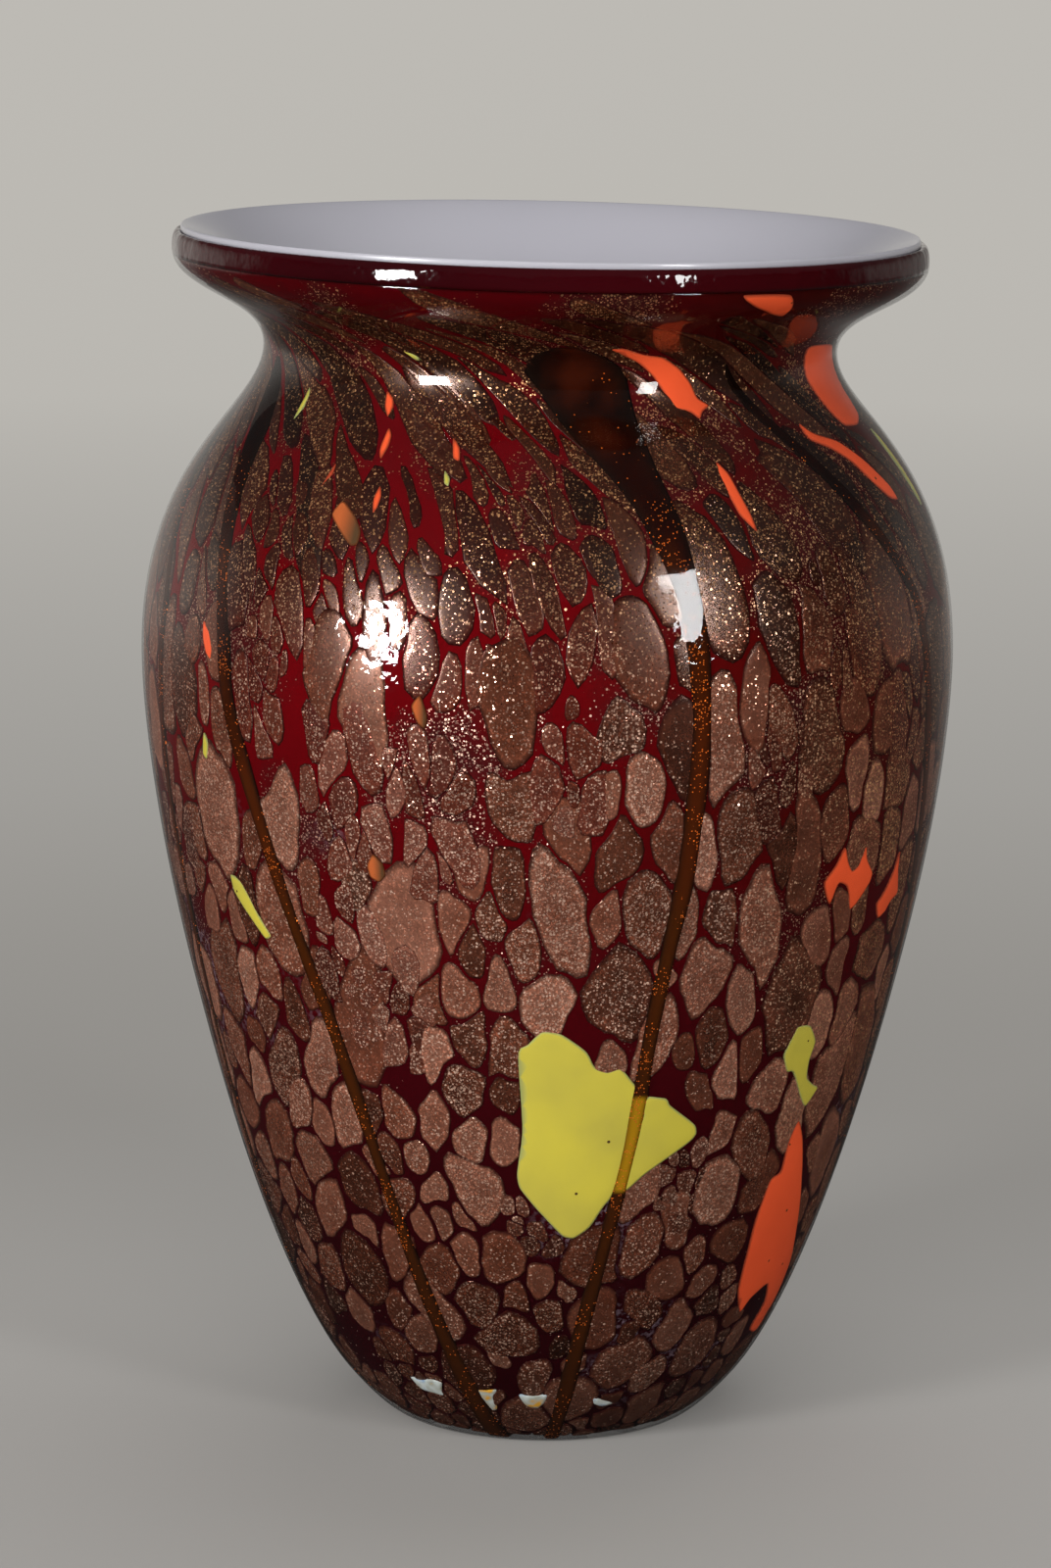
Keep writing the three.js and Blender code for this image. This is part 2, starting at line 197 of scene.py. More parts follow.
def ring_pairs(count):
    """Each point of a ring, with the next one round."""
    return [(k, (k + 1) % count) for k in range(count)]


def turned(name, profile, nodes, material, closed):
    """A solid of revolution. An open profile starts and ends on the axis."""
    ring = np.arange(ROUND_STEPS) * 2 * math.pi / ROUND_STEPS
    inner = profile if closed else profile[1:-1]
    r, z = inner[:, 0][:, None], inner[:, 1][:, None] + np.zeros(ROUND_STEPS)
    points = np.stack([r * np.sin(ring), -r * np.cos(ring), z], axis=-1).reshape(-1, 3)
    rows = len(inner)
    faces = []
    for i in range(rows if closed else rows - 1):
        a, b = i * ROUND_STEPS, (i + 1) % rows * ROUND_STEPS
        faces += [(a + k, a + m, b + m, b + k) for k, m in ring_pairs(ROUND_STEPS)]
    if not closed:
        start, end, last = len(points), len(points) + 1, (rows - 1) * ROUND_STEPS
        points = np.concatenate([points, [[0, 0, profile[0, 1]], [0, 0, profile[-1, 1]]]])
        for k, m in ring_pairs(ROUND_STEPS):
            faces += [(start, m, k), (end, last + k, last + m)]
    return piece_from(name, points, faces, nodes, material)


# Materials
def new_material(name):
    """Starts a material. The nodes that are made after this call belong to it."""
    global tree
    material = bpy.data.materials.new(name)
    material.use_nodes = True
    tree = material.node_tree
    tree.nodes.clear()
    return material


def node(kind, inputs=None, **settings):
    """A new node. inputs feeds its sockets, by name or number, with a node's output or a plain value."""
    made = tree.nodes.new("ShaderNode" + kind)
    for key, value in settings.items():
        setattr(made, key, value)
    for key, value in (inputs or {}).items():
        if hasattr(value, "is_linked"):
            tree.links.new(value, made.inputs[key])
        else:
            made.inputs[key].default_value = value
    return made


def math_node(operation, a, b, clamp=False):
    return node("Math", {0: a, 1: b}, operation=operation, use_clamp=clamp).outputs[0]


def times(a, b):
    return math_node("MULTIPLY", a, b)


def plus(a, b, clamp=False):
    return math_node("ADD", a, b, clamp)


def minus(a, b):
    return math_node("SUBTRACT", a, b)


def larger(a, b):
    return math_node("MAXIMUM", a, b)


def vector_math(operation, inputs, output=0):
    return node("VectorMath", inputs, operation=operation).outputs[output]


def map_range(value, start, end, low=0.0, high=1.0):
    inputs = {"Value": value, "From Min": start, "From Max": end, "To Min": low, "To Max": high}
    return node("MapRange", inputs, interpolation_type="SMOOTHSTEP").outputs[0]


def mix(factor, a, b, blend="MIX"):
    return node("Mix", {0: factor, 6: a, 7: b}, data_type="RGBA", blend_type=blend).outputs[2]


def ramp(factor, *stops):
    made = node("ValToRGB", {0: factor})
    elements = made.color_ramp.elements
    while len(elements) < len(stops):
        elements.new(0.5)
    for element, (place, colour) in zip(elements, stops):
        element.position = place
        element.color = (*colour, 1.0)
    return made.outputs[0]


def greys(factor, *stops):
    return ramp(factor, *[(place, (level, level, level)) for place, level in stops])


def object_place():
    return node("TexCoord").outputs["Object"]


def place_parts():
    """The X, Y and Z of the point."""
    return node("SeparateXYZ", {0: object_place()}).outputs


def height_share():
    """The height of the point, as a share of the vase's."""
    return times(place_parts()["Z"], 1.0 / (HEIGHT * MM))


def distance_from(spot):
    return vector_math("DISTANCE", {0: object_place(), 1: spot}, "Value")


def attribute(name):
    return node("Attribute", attribute_name=name).outputs["Fac"]


def noise(scale, detail):
    inputs = {"Scale": scale, "Detail": detail, "Vector": object_place()}
    return node("TexNoise", inputs).outputs["Fac"]


def clouds(scale, detail, amount):
    """Noise round 0, to shift another value by."""
    return times(minus(noise(scale, detail), 0.5), amount)


def cells(scale):
    """Small cells: the distance from the middle of each, and its random colour."""
    made = node("TexVoronoi", {"Scale": scale, "Vector": object_place()})
    return made.outputs["Distance"], made.outputs["Color"]


def channels(colour):
    return node("SeparateColor", {0: colour}).outputs


def specks(scale, share, reach=0.42):
    """Specks in a share of small cells: a mask that is 1 on a speck, and each speck's random colour."""
    distance, colour = cells(scale)
    chosen = math_node("LESS_THAN", channels(colour)[0], share)
    near = math_node("LESS_THAN", distance, reach)
    return times(chosen, near), colour


def tilted_normal(colour, amount):
    """The surface's normal, turned by each speck's random colour where amount is above 0."""
    centred = vector_math("SUBTRACT", {0: colour, 1: (0.5, 0.5, 0.5)})
    scaled = vector_math("SCALE", {0: centred, "Scale": amount})
    normal = node("NewGeometry").outputs["Normal"]
    return vector_math("NORMALIZE", {0: vector_math("ADD", {0: normal, 1: scaled})})


def principled(**values):
    inputs = {key.replace("_", " "): value for key, value in values.items()}
    node("OutputMaterial", {0: node("BsdfPrincipled", inputs).outputs[0]})


def mixed_shaders(factor, a, b):
    both = node("MixShader", {0: factor, 1: a.outputs[0], 2: b.outputs[0]})
    node("OutputMaterial", {0: both.outputs[0]})


DARK_COPPER = (0.050, 0.013, 0.006)
BROWN_COPPER = (0.160, 0.050, 0.027)
PINK_COPPER = (0.280, 0.122, 0.080)
PEBBLE_EDGE = (0.022, 0.003, 0.003, 1.0)
FAINT_FLAKE_GAIN = (1.6, 1.5, 1.4, 1.0)
FLAKE_BRIGHT = (1.0, 0.66, 0.50, 1.0)
FLAKE_GOLD = (1.0, 0.54, 0.25, 1.0)
FINE_FLAKES, COARSE_FLAKES = 2500.0, 1600.0
TRAIL_FLAKES = 2800.0
GRAINS = 3200.0
GLASS_IOR = 1.52
# The ruby's painted shade on its right side
RIGHT_SHADED_RUBY = (0.020, 0.003, 0.001, 1.0)
COPPER_DUST = (0.034, 0.006, 0.006, 1.0)
PALE_FROST = (0.20, 0.14, 0.17, 1.0)
PINHOLE = (0.06, 0.03, 0.01, 1.0)
TRAIL_GLOW = (0.060, 0.008, 0.002, 1.0)
TRAIL_GOLD = (0.33, 0.168, 0.006, 1.0)
TRAIL_SIDE = (0.006, 0.003, 0.002, 1.0)
TRAIL_FLAKE = (0.75, 0.16, 0.02, 1.0)
# Where the clear skin is rippled, in metres
RIPPLED_LEFT = (-0.037, -0.075, 0.170)
RIPPLED_RIGHT = (0.027, -0.079, 0.170)
# The studio. Reaches are in metres from the middle of the floor.
FLOOR_COLOUR = (0.42, 0.405, 0.385, 1.0)
BACKDROP_REACH = 3.0
BACKDROP = [
    (0.0, (0.335, 0.322, 0.308)), (0.09, (0.270, 0.258, 0.240)), (0.24, (0.350, 0.338, 0.318)),
    (0.63, (0.490, 0.473, 0.440)), (1.0, (0.510, 0.492, 0.458)),
]
BACKDROP_NEAR, BACKDROP_FAR = 0.25, 1.0
BACKDROP_START, BACKDROP_FULL = 0.06, 0.6
FRONT_DIMNESS = 0.06


def glitter_on(base, density):
    """Copper flakes of two sizes over the base, each with a random brightness that stands partly for painted
    glints: the new colour, the flakes' mask and their normal.
    """
    fine, fine_colour = specks(FINE_FLAKES, density)
    rarer = times(math_node("POWER", density, 1.5), 0.42)
    coarse, coarse_colour = specks(COARSE_FLAKES, rarer)
    x, _, z = place_parts()
    golden = larger(map_range(z, 0.16, 0.20), map_range(x, 0.03, 0.07))
    bright = mix(golden, FLAKE_BRIGHT, FLAKE_GOLD)
    faint = mix(1.0, base, FAINT_FLAKE_GAIN, "MULTIPLY")
    # A flake's colour is its copper, with a random brightness that is partly painted glints.
    for mask, colour, power in ((fine, fine_colour, 2.0), (coarse, coarse_colour, 0.8)):
        shine = math_node("POWER", channels(colour)[1], power)
        base = mix(mask, base, mix(shine, faint, bright))
    mask = larger(fine, coarse)
    turned_by = mix(coarse, fine_colour, coarse_colour)
    return base, mask, tilted_normal(turned_by, times(mask, 0.5))


def painted_shade_by_height():
    """Painted shade by height: the pebbles are darkened and warmed low down and at the neck, where less light
    reaches them, and lifted a little under the lip, where they mirror the floor.
    """
    return ramp(
        height_share(),
        (0.06, (0.46, 0.39, 0.35)), (0.20, (0.80, 0.70, 0.64)), (0.36, (1.0, 0.92, 0.88)),
        (0.56, (1.0, 0.96, 0.94)), (0.67, (0.86, 0.74, 0.67)), (0.76, (0.37, 0.26, 0.18)),
        (0.90, (0.33, 0.22, 0.14)), (0.97, (0.44, 0.31, 0.22)),
    )


def ruby_with_painted_shade():
    """Ruby with painted shade: dark low down, brightest at the shoulder where the light falls, darker again
    at the neck, and darkened towards the right side from 110 mm up.
    """
    ruby = ramp(
        plus(height_share(), clouds(16.0, 3.0, 0.25)),
        (0.15, (0.014, 0.0008, 0.0018)), (0.36, (0.036, 0.0010, 0.0024)), (0.52, (0.064, 0.0008, 0.0020)),
        (0.66, (0.108, 0.0010, 0.0024)), (0.80, (0.098, 0.0008, 0.0022)), (0.90, (0.086, 0.0008, 0.0022)),
        (0.96, (0.055, 0.0006, 0.0018)),
    )
    x, _, z = place_parts()
    # Painted shade: thick darkens the ruby towards the right side, from 110 mm up.
    thick = times(map_range(x, 0.0, 0.06), map_range(z, 0.11, 0.15, 0.0, 0.6))
    return mix(thick, ruby, RIGHT_SHADED_RUBY)


def aventurine_material():
    """Pebbles of copper-brown glass, darkened by painted shade low down and at the neck. The mesh gives each
    its tone, which carries painted light and shade on the right side, its glitter, dust and sheen, and its
    rim.
    """
    material = new_material("aventurine_pebbles")
    glitter, rim, sheen = [attribute(name) for name in ("glitter", "rim", "sheen")]
    # This attribute holds each pebble's own colour variation and the painted light and shade on the right
    # side.
    tone_and_shade = plus(attribute("tone_and_shade"), clouds(170.0, 4.0, 0.8))
    base = ramp(tone_and_shade, (0.0, DARK_COPPER), (0.5, BROWN_COPPER), (1.0, PINK_COPPER))
    grain = channels(cells(GRAINS)[1])[2]
    grains = greys(grain, (0.0, 0.6), (0.5, 0.88), (0.85, 1.2), (1.0, 2.3))
    base = mix(plus(0.45, glitter, True), base, grains, "MULTIPLY")
    base = mix(attribute("dust"), base, ruby_with_painted_shade())
    # glass is the painted shade by height: it darkens the base in full and the flakes in part.
    glass = painted_shade_by_height()
    base = mix(1.0, base, glass, "MULTIPLY")
    base, mask, normal = glitter_on(base, glitter)
    base = mix(0.4, base, glass, "MULTIPLY")
    band = greys(rim, (0.0, 0.86), (0.3, 1.14), (0.55, 0.9))
    base = mix(1.0, base, band, "MULTIPLY")
    base = mix(greys(rim, (0.35, 0.0), (0.9, 0.85)), base, PEBBLE_EDGE)
    metallic = plus(times(sheen, 0.2), 0.12)
    roughness = minus(0.28, times(sheen, 0.05))
    facing = node("LayerWeight", {"Blend": 0.5}).outputs["Facing"]
    gloss = map_range(facing, 0.3, 0.75, 0.38, 0.0)
    principled(
        Base_Color=base,
        Metallic=plus(times(mask, 0.35), metallic, True),
        Roughness=minus(roughness, times(mask, 0.1)),
        IOR=2.0,
        Specular_IOR_Level=times(gloss, minus(1.0, rim)),
        Specular_Tint=(1.0, 0.74, 0.62, 1.0),
        Normal=normal,
    )
    return material


def ruby_material():
    """Ruby over opal, with painted shade by height, copper dust in drifts, and pale frost in patches low
    down.
    """
    material = new_material("ruby_ground")
    drift = greys(noise(42.0, 3.0), (0.48, 0.0), (0.63, 0.8))
    drift = times(drift, greys(height_share(), (0.36, 0.05), (0.56, 1.0)))
    dusty = mix(drift, ruby_with_painted_shade(), COPPER_DUST)
    frost = greys(noise(27.0, 2.0), (0.6, 0.0), (0.72, 0.8))
    frost = times(frost, greys(height_share(), (0.5, 1.0), (0.62, 0.0)))
    frost = times(frost, greys(noise(900.0, 3.0), (0.47, 0.0), (0.62, 1.0)))
    frosted = mix(frost, dusty, PALE_FROST)
    base, mask, normal = glitter_on(frosted, drift)
    metallic = times(mask, 0.8)
    principled(Base_Color=base, Metallic=metallic, Roughness=0.4, Specular_IOR_Level=0.0, Normal=normal)
    return material


def ruby_lip_material():
    material = new_material("ruby_lip")
    base = ramp(noise(14.0, 2.0), (0.35, (0.012, 0.0006, 0.0014)), (0.7, (0.036, 0.001, 0.0026)))
    height = plus(noise(50.0, 1.0), times(noise(260.0, 2.0), 0.2))
    normal = node("Bump", {"Distance": 0.0014, "Height": height}).outputs[0]
    principled(Base_Color=base, Roughness=0.06, IOR=GLASS_IOR, Normal=normal)
    return material


def opal_material():
    material = new_material("opal_inside")
    base = ramp(noise(9.0, 3.0), (0.3, (0.38, 0.37, 0.41)), (0.75, (0.435, 0.425, 0.465)))
    principled(Base_Color=base, Roughness=0.3, Coat_Weight=0.6, Coat_Roughness=0.12)
    return material


def chip_material(name, colour, cloudy, edge, fades=False):
    """Opaque glass, cloudy or fading from its left to its right, with a few pinholes."""
    material = new_material(name)
    if fades:
        cloud = greys(attribute("across"), (0.3, 0.0), (0.85, 1.0))
    else:
        cloud = greys(noise(60.0, 4.0), (0.35, 0.0), (0.75, 1.0))
    base = mix(cloud, (*colour, 1.0), (*cloudy, 1.0))
    base = mix(specks(320.0, 0.14, 0.11)[0], base, PINHOLE)
    base = mix(attribute("rim"), base, (*edge, 1.0))
    principled(Base_Color=base, Roughness=0.4, Specular_IOR_Level=0.0)
    return material


def trail_material():
    """Amber: nearly black where it is thick at the neck, brown lower down, and golden over the yellow."""
    material = new_material("amber_trail")
    base = ramp(
        plus(height_share(), clouds(60.0, 4.0, 0.5)),
        (0.10, (0.030, 0.008, 0.002)), (0.40, (0.046, 0.011, 0.002)), (0.58, (0.056, 0.010, 0.002)),
        (0.70, (0.032, 0.006, 0.001)), (0.80, (0.012, 0.0015, 0.0006)), (0.90, (0.004, 0.001, 0.0005)),
    )
    glow = greys(noise(45.0, 4.0), (0.52, 0.0), (0.7, 0.6))
    glow = times(glow, map_range(height_share(), 0.76, 0.82))
    base = mix(glow, base, TRAIL_GLOW)
    base = mix(attribute("golden"), base, TRAIL_GOLD)
    sides = times(math_node("POWER", attribute("across"), 2.2), 0.92)
    base = mix(sides, base, TRAIL_SIDE)
    drift = greys(noise(110.0, 3.0), (0.44, 0.0), (0.70, 0.4))
    below = greys(height_share(), (0.76, 1.0), (0.84, 0.12))
    mask, colour = specks(TRAIL_FLAKES, times(drift, below))
    principled(
        Base_Color=mix(mask, base, TRAIL_FLAKE),
        Roughness=0.35,
        Metallic=times(mask, 0.5),
        Specular_IOR_Level=0.0,
        Normal=tilted_normal(colour, times(mask, 0.8)),
    )
    return material


def foot_window_material():
    """Gaps in the coat at the foot, painted with the floor's light and the glints that show through clear
    glass.
    """
    material = new_material("foot_window")
    base = ramp(
        noise(230.0, 2.0),
        (0.34, (0.55, 0.28, 0.03)), (0.42, (0.34, 0.35, 0.30)), (0.55, (0.48, 0.52, 0.50)),
        (0.62, (0.30, 0.38, 0.46)), (0.68, (0.06, 0.16, 0.42)),
    )
    principled(Base_Color=base, Roughness=0.3, Specular_IOR_Level=0.0)
    return material


def clear_material():
    """Clear glass as a skin: light goes straight through, and the outside mirrors the room by its angle.
    Two spots on the shoulder are rippled, and the rest is nearly smooth."""
    material = new_material("clear_glass_skin")
    left = map_range(distance_from(RIPPLED_LEFT), 0.010, 0.024, 0.54, 0.014)
    right = map_range(distance_from(RIPPLED_RIGHT), 0.004, 0.015, 0.4, 0.0)
    ripples = times(noise(190.0, 2.5), plus(left, right))
    height = plus(times(noise(60.0, 1.0), 0.5), ripples)
    normal = node("Bump", {"Distance": 0.0010, "Strength": 1.0, "Height": height}).outputs[0]
    mirror = node("BsdfGlossy", {"Roughness": 0.05, "Normal": normal})
    fresnel = node("Fresnel", {"IOR": GLASS_IOR}).outputs[0]
    front = minus(1.0, node("NewGeometry").outputs["Backfacing"])
    mixed_shaders(times(fresnel, front), node("BsdfTransparent"), mirror)
    return material


def studio_material():
    """A floor that takes soft shadows near the vase, and further off a backdrop that glows with painted
    light, dimmest a little way from the vase and brighter far off.
    The vase mirrors this glow: bright behind it, and dim in front of it, higher up and to the right."""
    material = new_material("studio")
    x, y, z = place_parts()
    reach = vector_math("LENGTH", {0: object_place()}, "Value")
    backdrop = ramp(math_node("DIVIDE", reach, BACKDROP_REACH), *BACKDROP)
    far = map_range(reach, BACKDROP_START, BACKDROP_FULL, BACKDROP_NEAR, BACKDROP_FAR)
    mirrored = map_range(y, -0.1, 1.5, FRONT_DIMNESS, 1.0)
    mirrored = times(mirrored, map_range(z, 0.3, 1.6, 1.0, 0.35))
    mirrored = times(mirrored, map_range(x, 0.2, 1.2, 1.0, 0.45))
    rays = node("LightPath").outputs
    direct = larger(rays["Is Camera Ray"], rays["Is Transmission Ray"])
    glossy = rays["Is Glossy Ray"]
    strength = larger(direct, times(glossy, mirrored))
    glow = node("Emission", {"Color": backdrop, "Strength": strength})
    matt = node("BsdfDiffuse", {"Color": FLOOR_COLOUR})
    mixed_shaders(larger(times(far, direct), glossy), matt, glow)
    return material


AVENTURINE = aventurine_material()
RUBY_GROUND = ruby_material()
RUBY_LIP = ruby_lip_material()
OPAL = opal_material()
YELLOW = chip_material("yellow_chip", (0.54, 0.46, 0.055), (0.43, 0.37, 0.06), (0.30, 0.32, 0.11))
ORANGE = chip_material("orange_chip", (0.80, 0.100, 0.030), (0.70, 0.085, 0.026), (0.35, 0.05, 0.02))
OCHRE = chip_material("ochre_chip", (0.42, 0.100, 0.028), (0.075, 0.040, 0.018), (0.10, 0.03, 0.01), True)
AMBER = trail_material()
FOOT_WINDOW = foot_window_material()
CLEAR = clear_material()


# Lining, ruby, clear skin and lip
coat_end = int(np.argmax(OUTER[:, 1] >= COAT_TOP_Z))


def coat_layer(top, bottom):
    """The profile of a layer as high as the coat, between two depths."""
    return np.concatenate([face_at(top)[: coat_end + 1], face_at(bottom)[coat_end::-1]])


def curve_between(start, pull, end, steps):
    t = np.linspace(0, 1, steps + 1)[1:-1, None]
    return start * (1 - t) ** 2 + 2 * t * (1 - t) * pull + t**2 * end


def opal_profile():
    outer = face_at(OPAL_OUTER)
    start, end = outer[-1], INNER[-1]
    pull = np.array([start[0] + OPAL_EDGE * 0.6, end[1] + OPAL_EDGE])
    return np.concatenate([outer, curve_between(start, pull, end, 8), INNER[::-1]])


def lip_profile():
    outer = OUTER[coat_end:]
    inner = face_at(OPAL_OUTER - 0.1)[coat_end:]
    pull = np.array([outer[-1, 0] + 0.1, inner[-1, 1] + 0.9])
    return np.concatenate([outer, curve_between(outer[-1], pull, inner[-1], 10), inner[::-1]])


turned("opal_inside", opal_profile(), ["opal_liner"], OPAL, False)
ruby_profile = coat_layer(GROUND, OPAL_OUTER - 0.2)
turned("ruby_ground", ruby_profile, ["ruby_casing"], RUBY_GROUND, False)
turned("clear_glass_skin", coat_layer(0.0, CLEAR_INNER), ["crystal_casing"], CLEAR, False)
turned("ruby_lip", lip_profile(), ["lip_wrap"], RUBY_LIP, True)


# Trails: height, angle and width at stations from the foot to the neck
TRAILS = [
    [
        (0, -16, 5.0), (14, -19.5, 4.8), (33, -24, 3.2), (57, -28.6, 3.0), (99, -36, 3.4), (138, -44.6, 4.0),
        (161, -50, 4.3), (175, -51, 4.6), (190, -54.2, 4.0), (198.5, -56.7, 4.4), (204, -58.2, 5.6),
        (210, -61, 7.0), (217, -65.5, 8.6), (225, -71, 8.0),
    ],
    [
        (0, 3, 3.4), (20, 7, 3.4), (46, 11.3, 3.2), (70, 14.2, 3.0), (96, 16.2, 3.2), (129, 19.9, 3.8),
        (158, 20.8, 4.3), (181, 20.2, 4.8), (195.5, 18, 6.3), (202.5, 16.3, 8.7), (211.5, 11.9, 12.6),
        (216, 9.6, 14.6), (220, 7.3, 17.6), (226, 5.2, 22.4), (232, 1.5, 21.0),
    ],
    [(0, 92, 3.2), (59, 84, 3.4), (120, 73, 3.8), (181, 63.5, 4.2), (206, 50, 4), (228, 35, 2.6)],
    [(0, -78, 2.6), (59, -73, 2.3), (120, -70, 2.3), (181, -69.5, 2.7), (206, -80, 4.6), (228, -95, 6.4)],
    [(0, 128, 3), (59, 131, 2.6), (120, 122, 2.6), (181, 114, 3.2), (206, 104, 4.2), (228, 91, 6.4)],
    [(0, 176, 3.2), (59, 170, 2.9), (120, 164, 3.2), (181, 166, 3.8), (206, 154, 8), (230, 140, 12.6)],
    [(0, -130, 3), (59, -134, 2.7), (120, -126, 2.7), (181, -120, 3.2), (206, -131, 5.2), (228, -145, 7.4)],
]
TRAIL_STATIONS = 230
TRAIL_SECTION = 16
TRAIL_START_S = 8.0
# Where trail 2 crosses the large yellow fragment and looks golden
GOLDEN_FROM, GOLDEN_TO = 62.0, 83.5


def smooth_run(values, reach=5):
    padded = np.pad(values, reach, mode="edge")
    return np.convolve(padded, np.ones(2 * reach + 1) / (2 * reach + 1), mode="valid")


def add_trail(number, stops, rng):
    heights, angles, widths = zip(*stops)
    s = np.linspace(TRAIL_START_S, float(s_at_height(heights[-1])), TRAIL_STATIONS)
    z = height_at_s(s)
    angle = smooth_run(np.radians(np.interp(z, heights, angles)))
    width = smooth_run(np.interp(z, heights, widths))
    width = width * (1 + 0.07 * np.sin(s / 9 + rng.uniform(0, 6)) + 0.05 * np.sin(s / 3.7))
    angle = angle + np.sin(s / 13 + rng.uniform(0, 6)) * 0.3 / np.maximum(radius_at_s(s), 12)
    width = width * np.clip((s[-1] - s) / 6, 0.03, 1) ** 0.5
    golden = ((z > GOLDEN_FROM) & (z < GOLDEN_TO) & (number == 2)).astype(float)
    turn = 2 * math.pi * np.arange(TRAIL_SECTION) / TRAIL_SECTION
    radius = np.maximum(radius_at_s(s), 6.0)
    around = angle[:, None] + np.cos(turn) * width[:, None] / 2 / radius[:, None]
    depth = np.where(np.sin(turn) > -0.01, TRAIL_TOP + 0.3 * np.abs(np.cos(turn)) ** 6, GROUND)
    vertices = on_wall(around, s[:, None] + 0 * around, depth + 0 * around).reshape(-1, 3)
    faces = []
    for i in range(TRAIL_STATIONS - 1):
        a, b = i * TRAIL_SECTION, (i + 1) * TRAIL_SECTION
        faces += [(a + k, a + m, b + m, b + k) for k, m in ring_pairs(TRAIL_SECTION)]
    last = (TRAIL_STATIONS - 1) * TRAIL_SECTION
    faces.append(tuple(range(TRAIL_SECTION))[::-1])
    faces.append(tuple(last + k for k in range(TRAIL_SECTION)))
    values = {
        "across": np.tile(np.abs(np.cos(turn)), TRAIL_STATIONS),
        "golden": np.repeat(golden, TRAIL_SECTION),
    }
    piece_from(f"amber_trail_{number}", vertices, faces, [f"trail_{number}"], AMBER, values)


trail_rng = np.random.default_rng(SEED)
for number, stops in enumerate(TRAILS, 1):
    add_trail(number, stops, trail_rng)


# Fragments of colour, as in the CAD source: outlines in millimetres, x to the right and y up
def pod(length, width, lean=0.0):
    turn = np.arange(8) / 8 * 2 * math.pi
    x, y = np.sin(turn) * width / 2, np.cos(turn) * length / 2
    tilt = math.radians(lean)
    cos, sin = math.cos(tilt), math.sin(tilt)
    return np.stack([x * cos + y * sin, y * cos - x * sin], axis=1)


LEFT_LOBE = [
    [-11, 19], [-9, 20], [-6.5, 23], [-3, 22.5], [2, 18.5], [3.5, 15], [6, 14], [8.5, 15], [11.5, 11],
    [14, 8.5], [11.5, -3.5], [9, -13.5], [7, -16], [4.5, -20.5], [1, -23], [-1.5, -22.5], [-7.5, -16],
    [-11, -11.5], [-11.5, -8.5], [-10, 1],
]
RIGHT_LOBE = [
    [-7, 9.5], [-1.5, 8.5], [-1, 7], [5.5, 2], [6, 0], [5, -1.5], [-4.5, -8], [-8, -11.5], [-10.5, -12],
]
CRESCENT = [
    [-6.5, 7], [-5.5, 9.5], [-1.5, 9], [1.5, 5], [0.5, 1], [1, -3], [4, -5], [6.5, -6], [3, -10], [0, -6.5],
    [-4, -0.5], [-6, -0.5], [-8, 3.5],
]
TALL_FLAME = [
    [-6.5, 26], [-3.5, 21], [1, 11], [4.5, 4], [8, -3], [13, -11], [15, -19], [12, -27], [5, -25], [7, -19],
    [3, -13], [-3, -15.5], [-5, -19], [-9.5, -12.5], [-10.5, -6], [-11.5, 4], [-10.5, 13.5], [-7.5, 14],
    [-8, 21],
]
STAR = [
    [-3.5, 7.5], [-2, 4], [0, 1.5], [2, 2.5], [3.5, 7.5], [4.5, 3.5], [8, 0], [7.5, -2], [3.5, -6],
    [1.5, -7], [-0.5, -1.5], [-4, 0], [-5.5, -5], [-7.5, -2], [-8.5, 0.5], [-5.5, 3.5],
]
HOOK = [
    [4, 5.5], [4.5, 1.5], [7.5, -4.5], [4, -5.5], [2, -7.5], [-1, -8.5], [-3, -5], [-1.5, -4], [0.5, -2],
    [2.5, 1],
]
CORAL = [
    [-9, 9], [-3.5, 9], [8, 8], [12, 3], [12, -4.5], [10, -7], [4.5, -8.5], [-2, -8], [-4, -5.5], [-5.5, -2],
    [-8, 2.5],
]
WEDGE = [[-9, 3.5], [-3.5, 3.5], [2.5, 3.2], [4.5, 0.5], [4.5, -1.5], [1.5, -1], [-5, 1], [-8, 2.5]]
STREAK = [
    [-11.5, 7], [-8, 7], [-3.5, 5.5], [0.5, 5], [4.5, 2.5], [7, -0.5], [8, -3.5], [10.5, -5], [8.5, -6],
    [7.5, -7.5], [6, -6], [3, -5.5], [1.5, -3], [-1, 1], [-4.5, 4],
]
BLADE = [[-2.5, 7.5], [-0.5, 5], [0.5, 1], [1.5, -2.5], [2, -6], [1, -5], [-1, -2.5], [-2, 1], [-3, 5]]
RIBBON = [
    [-12, 9], [-9, 6.5], [-1.5, 4.5], [4, 0.5], [9.5, -5.5], [10, -8.5], [6.5, -7.5], [2.5, -4], [-1, 0.5],
    [-6, 3.5], [-11.5, 5.5],
]
SLANT = [
    [-5.5, 6], [-2, 5], [0.5, 1.5], [2.5, -2], [5.5, -5.5], [3.5, -6.5], [1, -4], [-2.5, -0.5], [-5, 2.5],
]
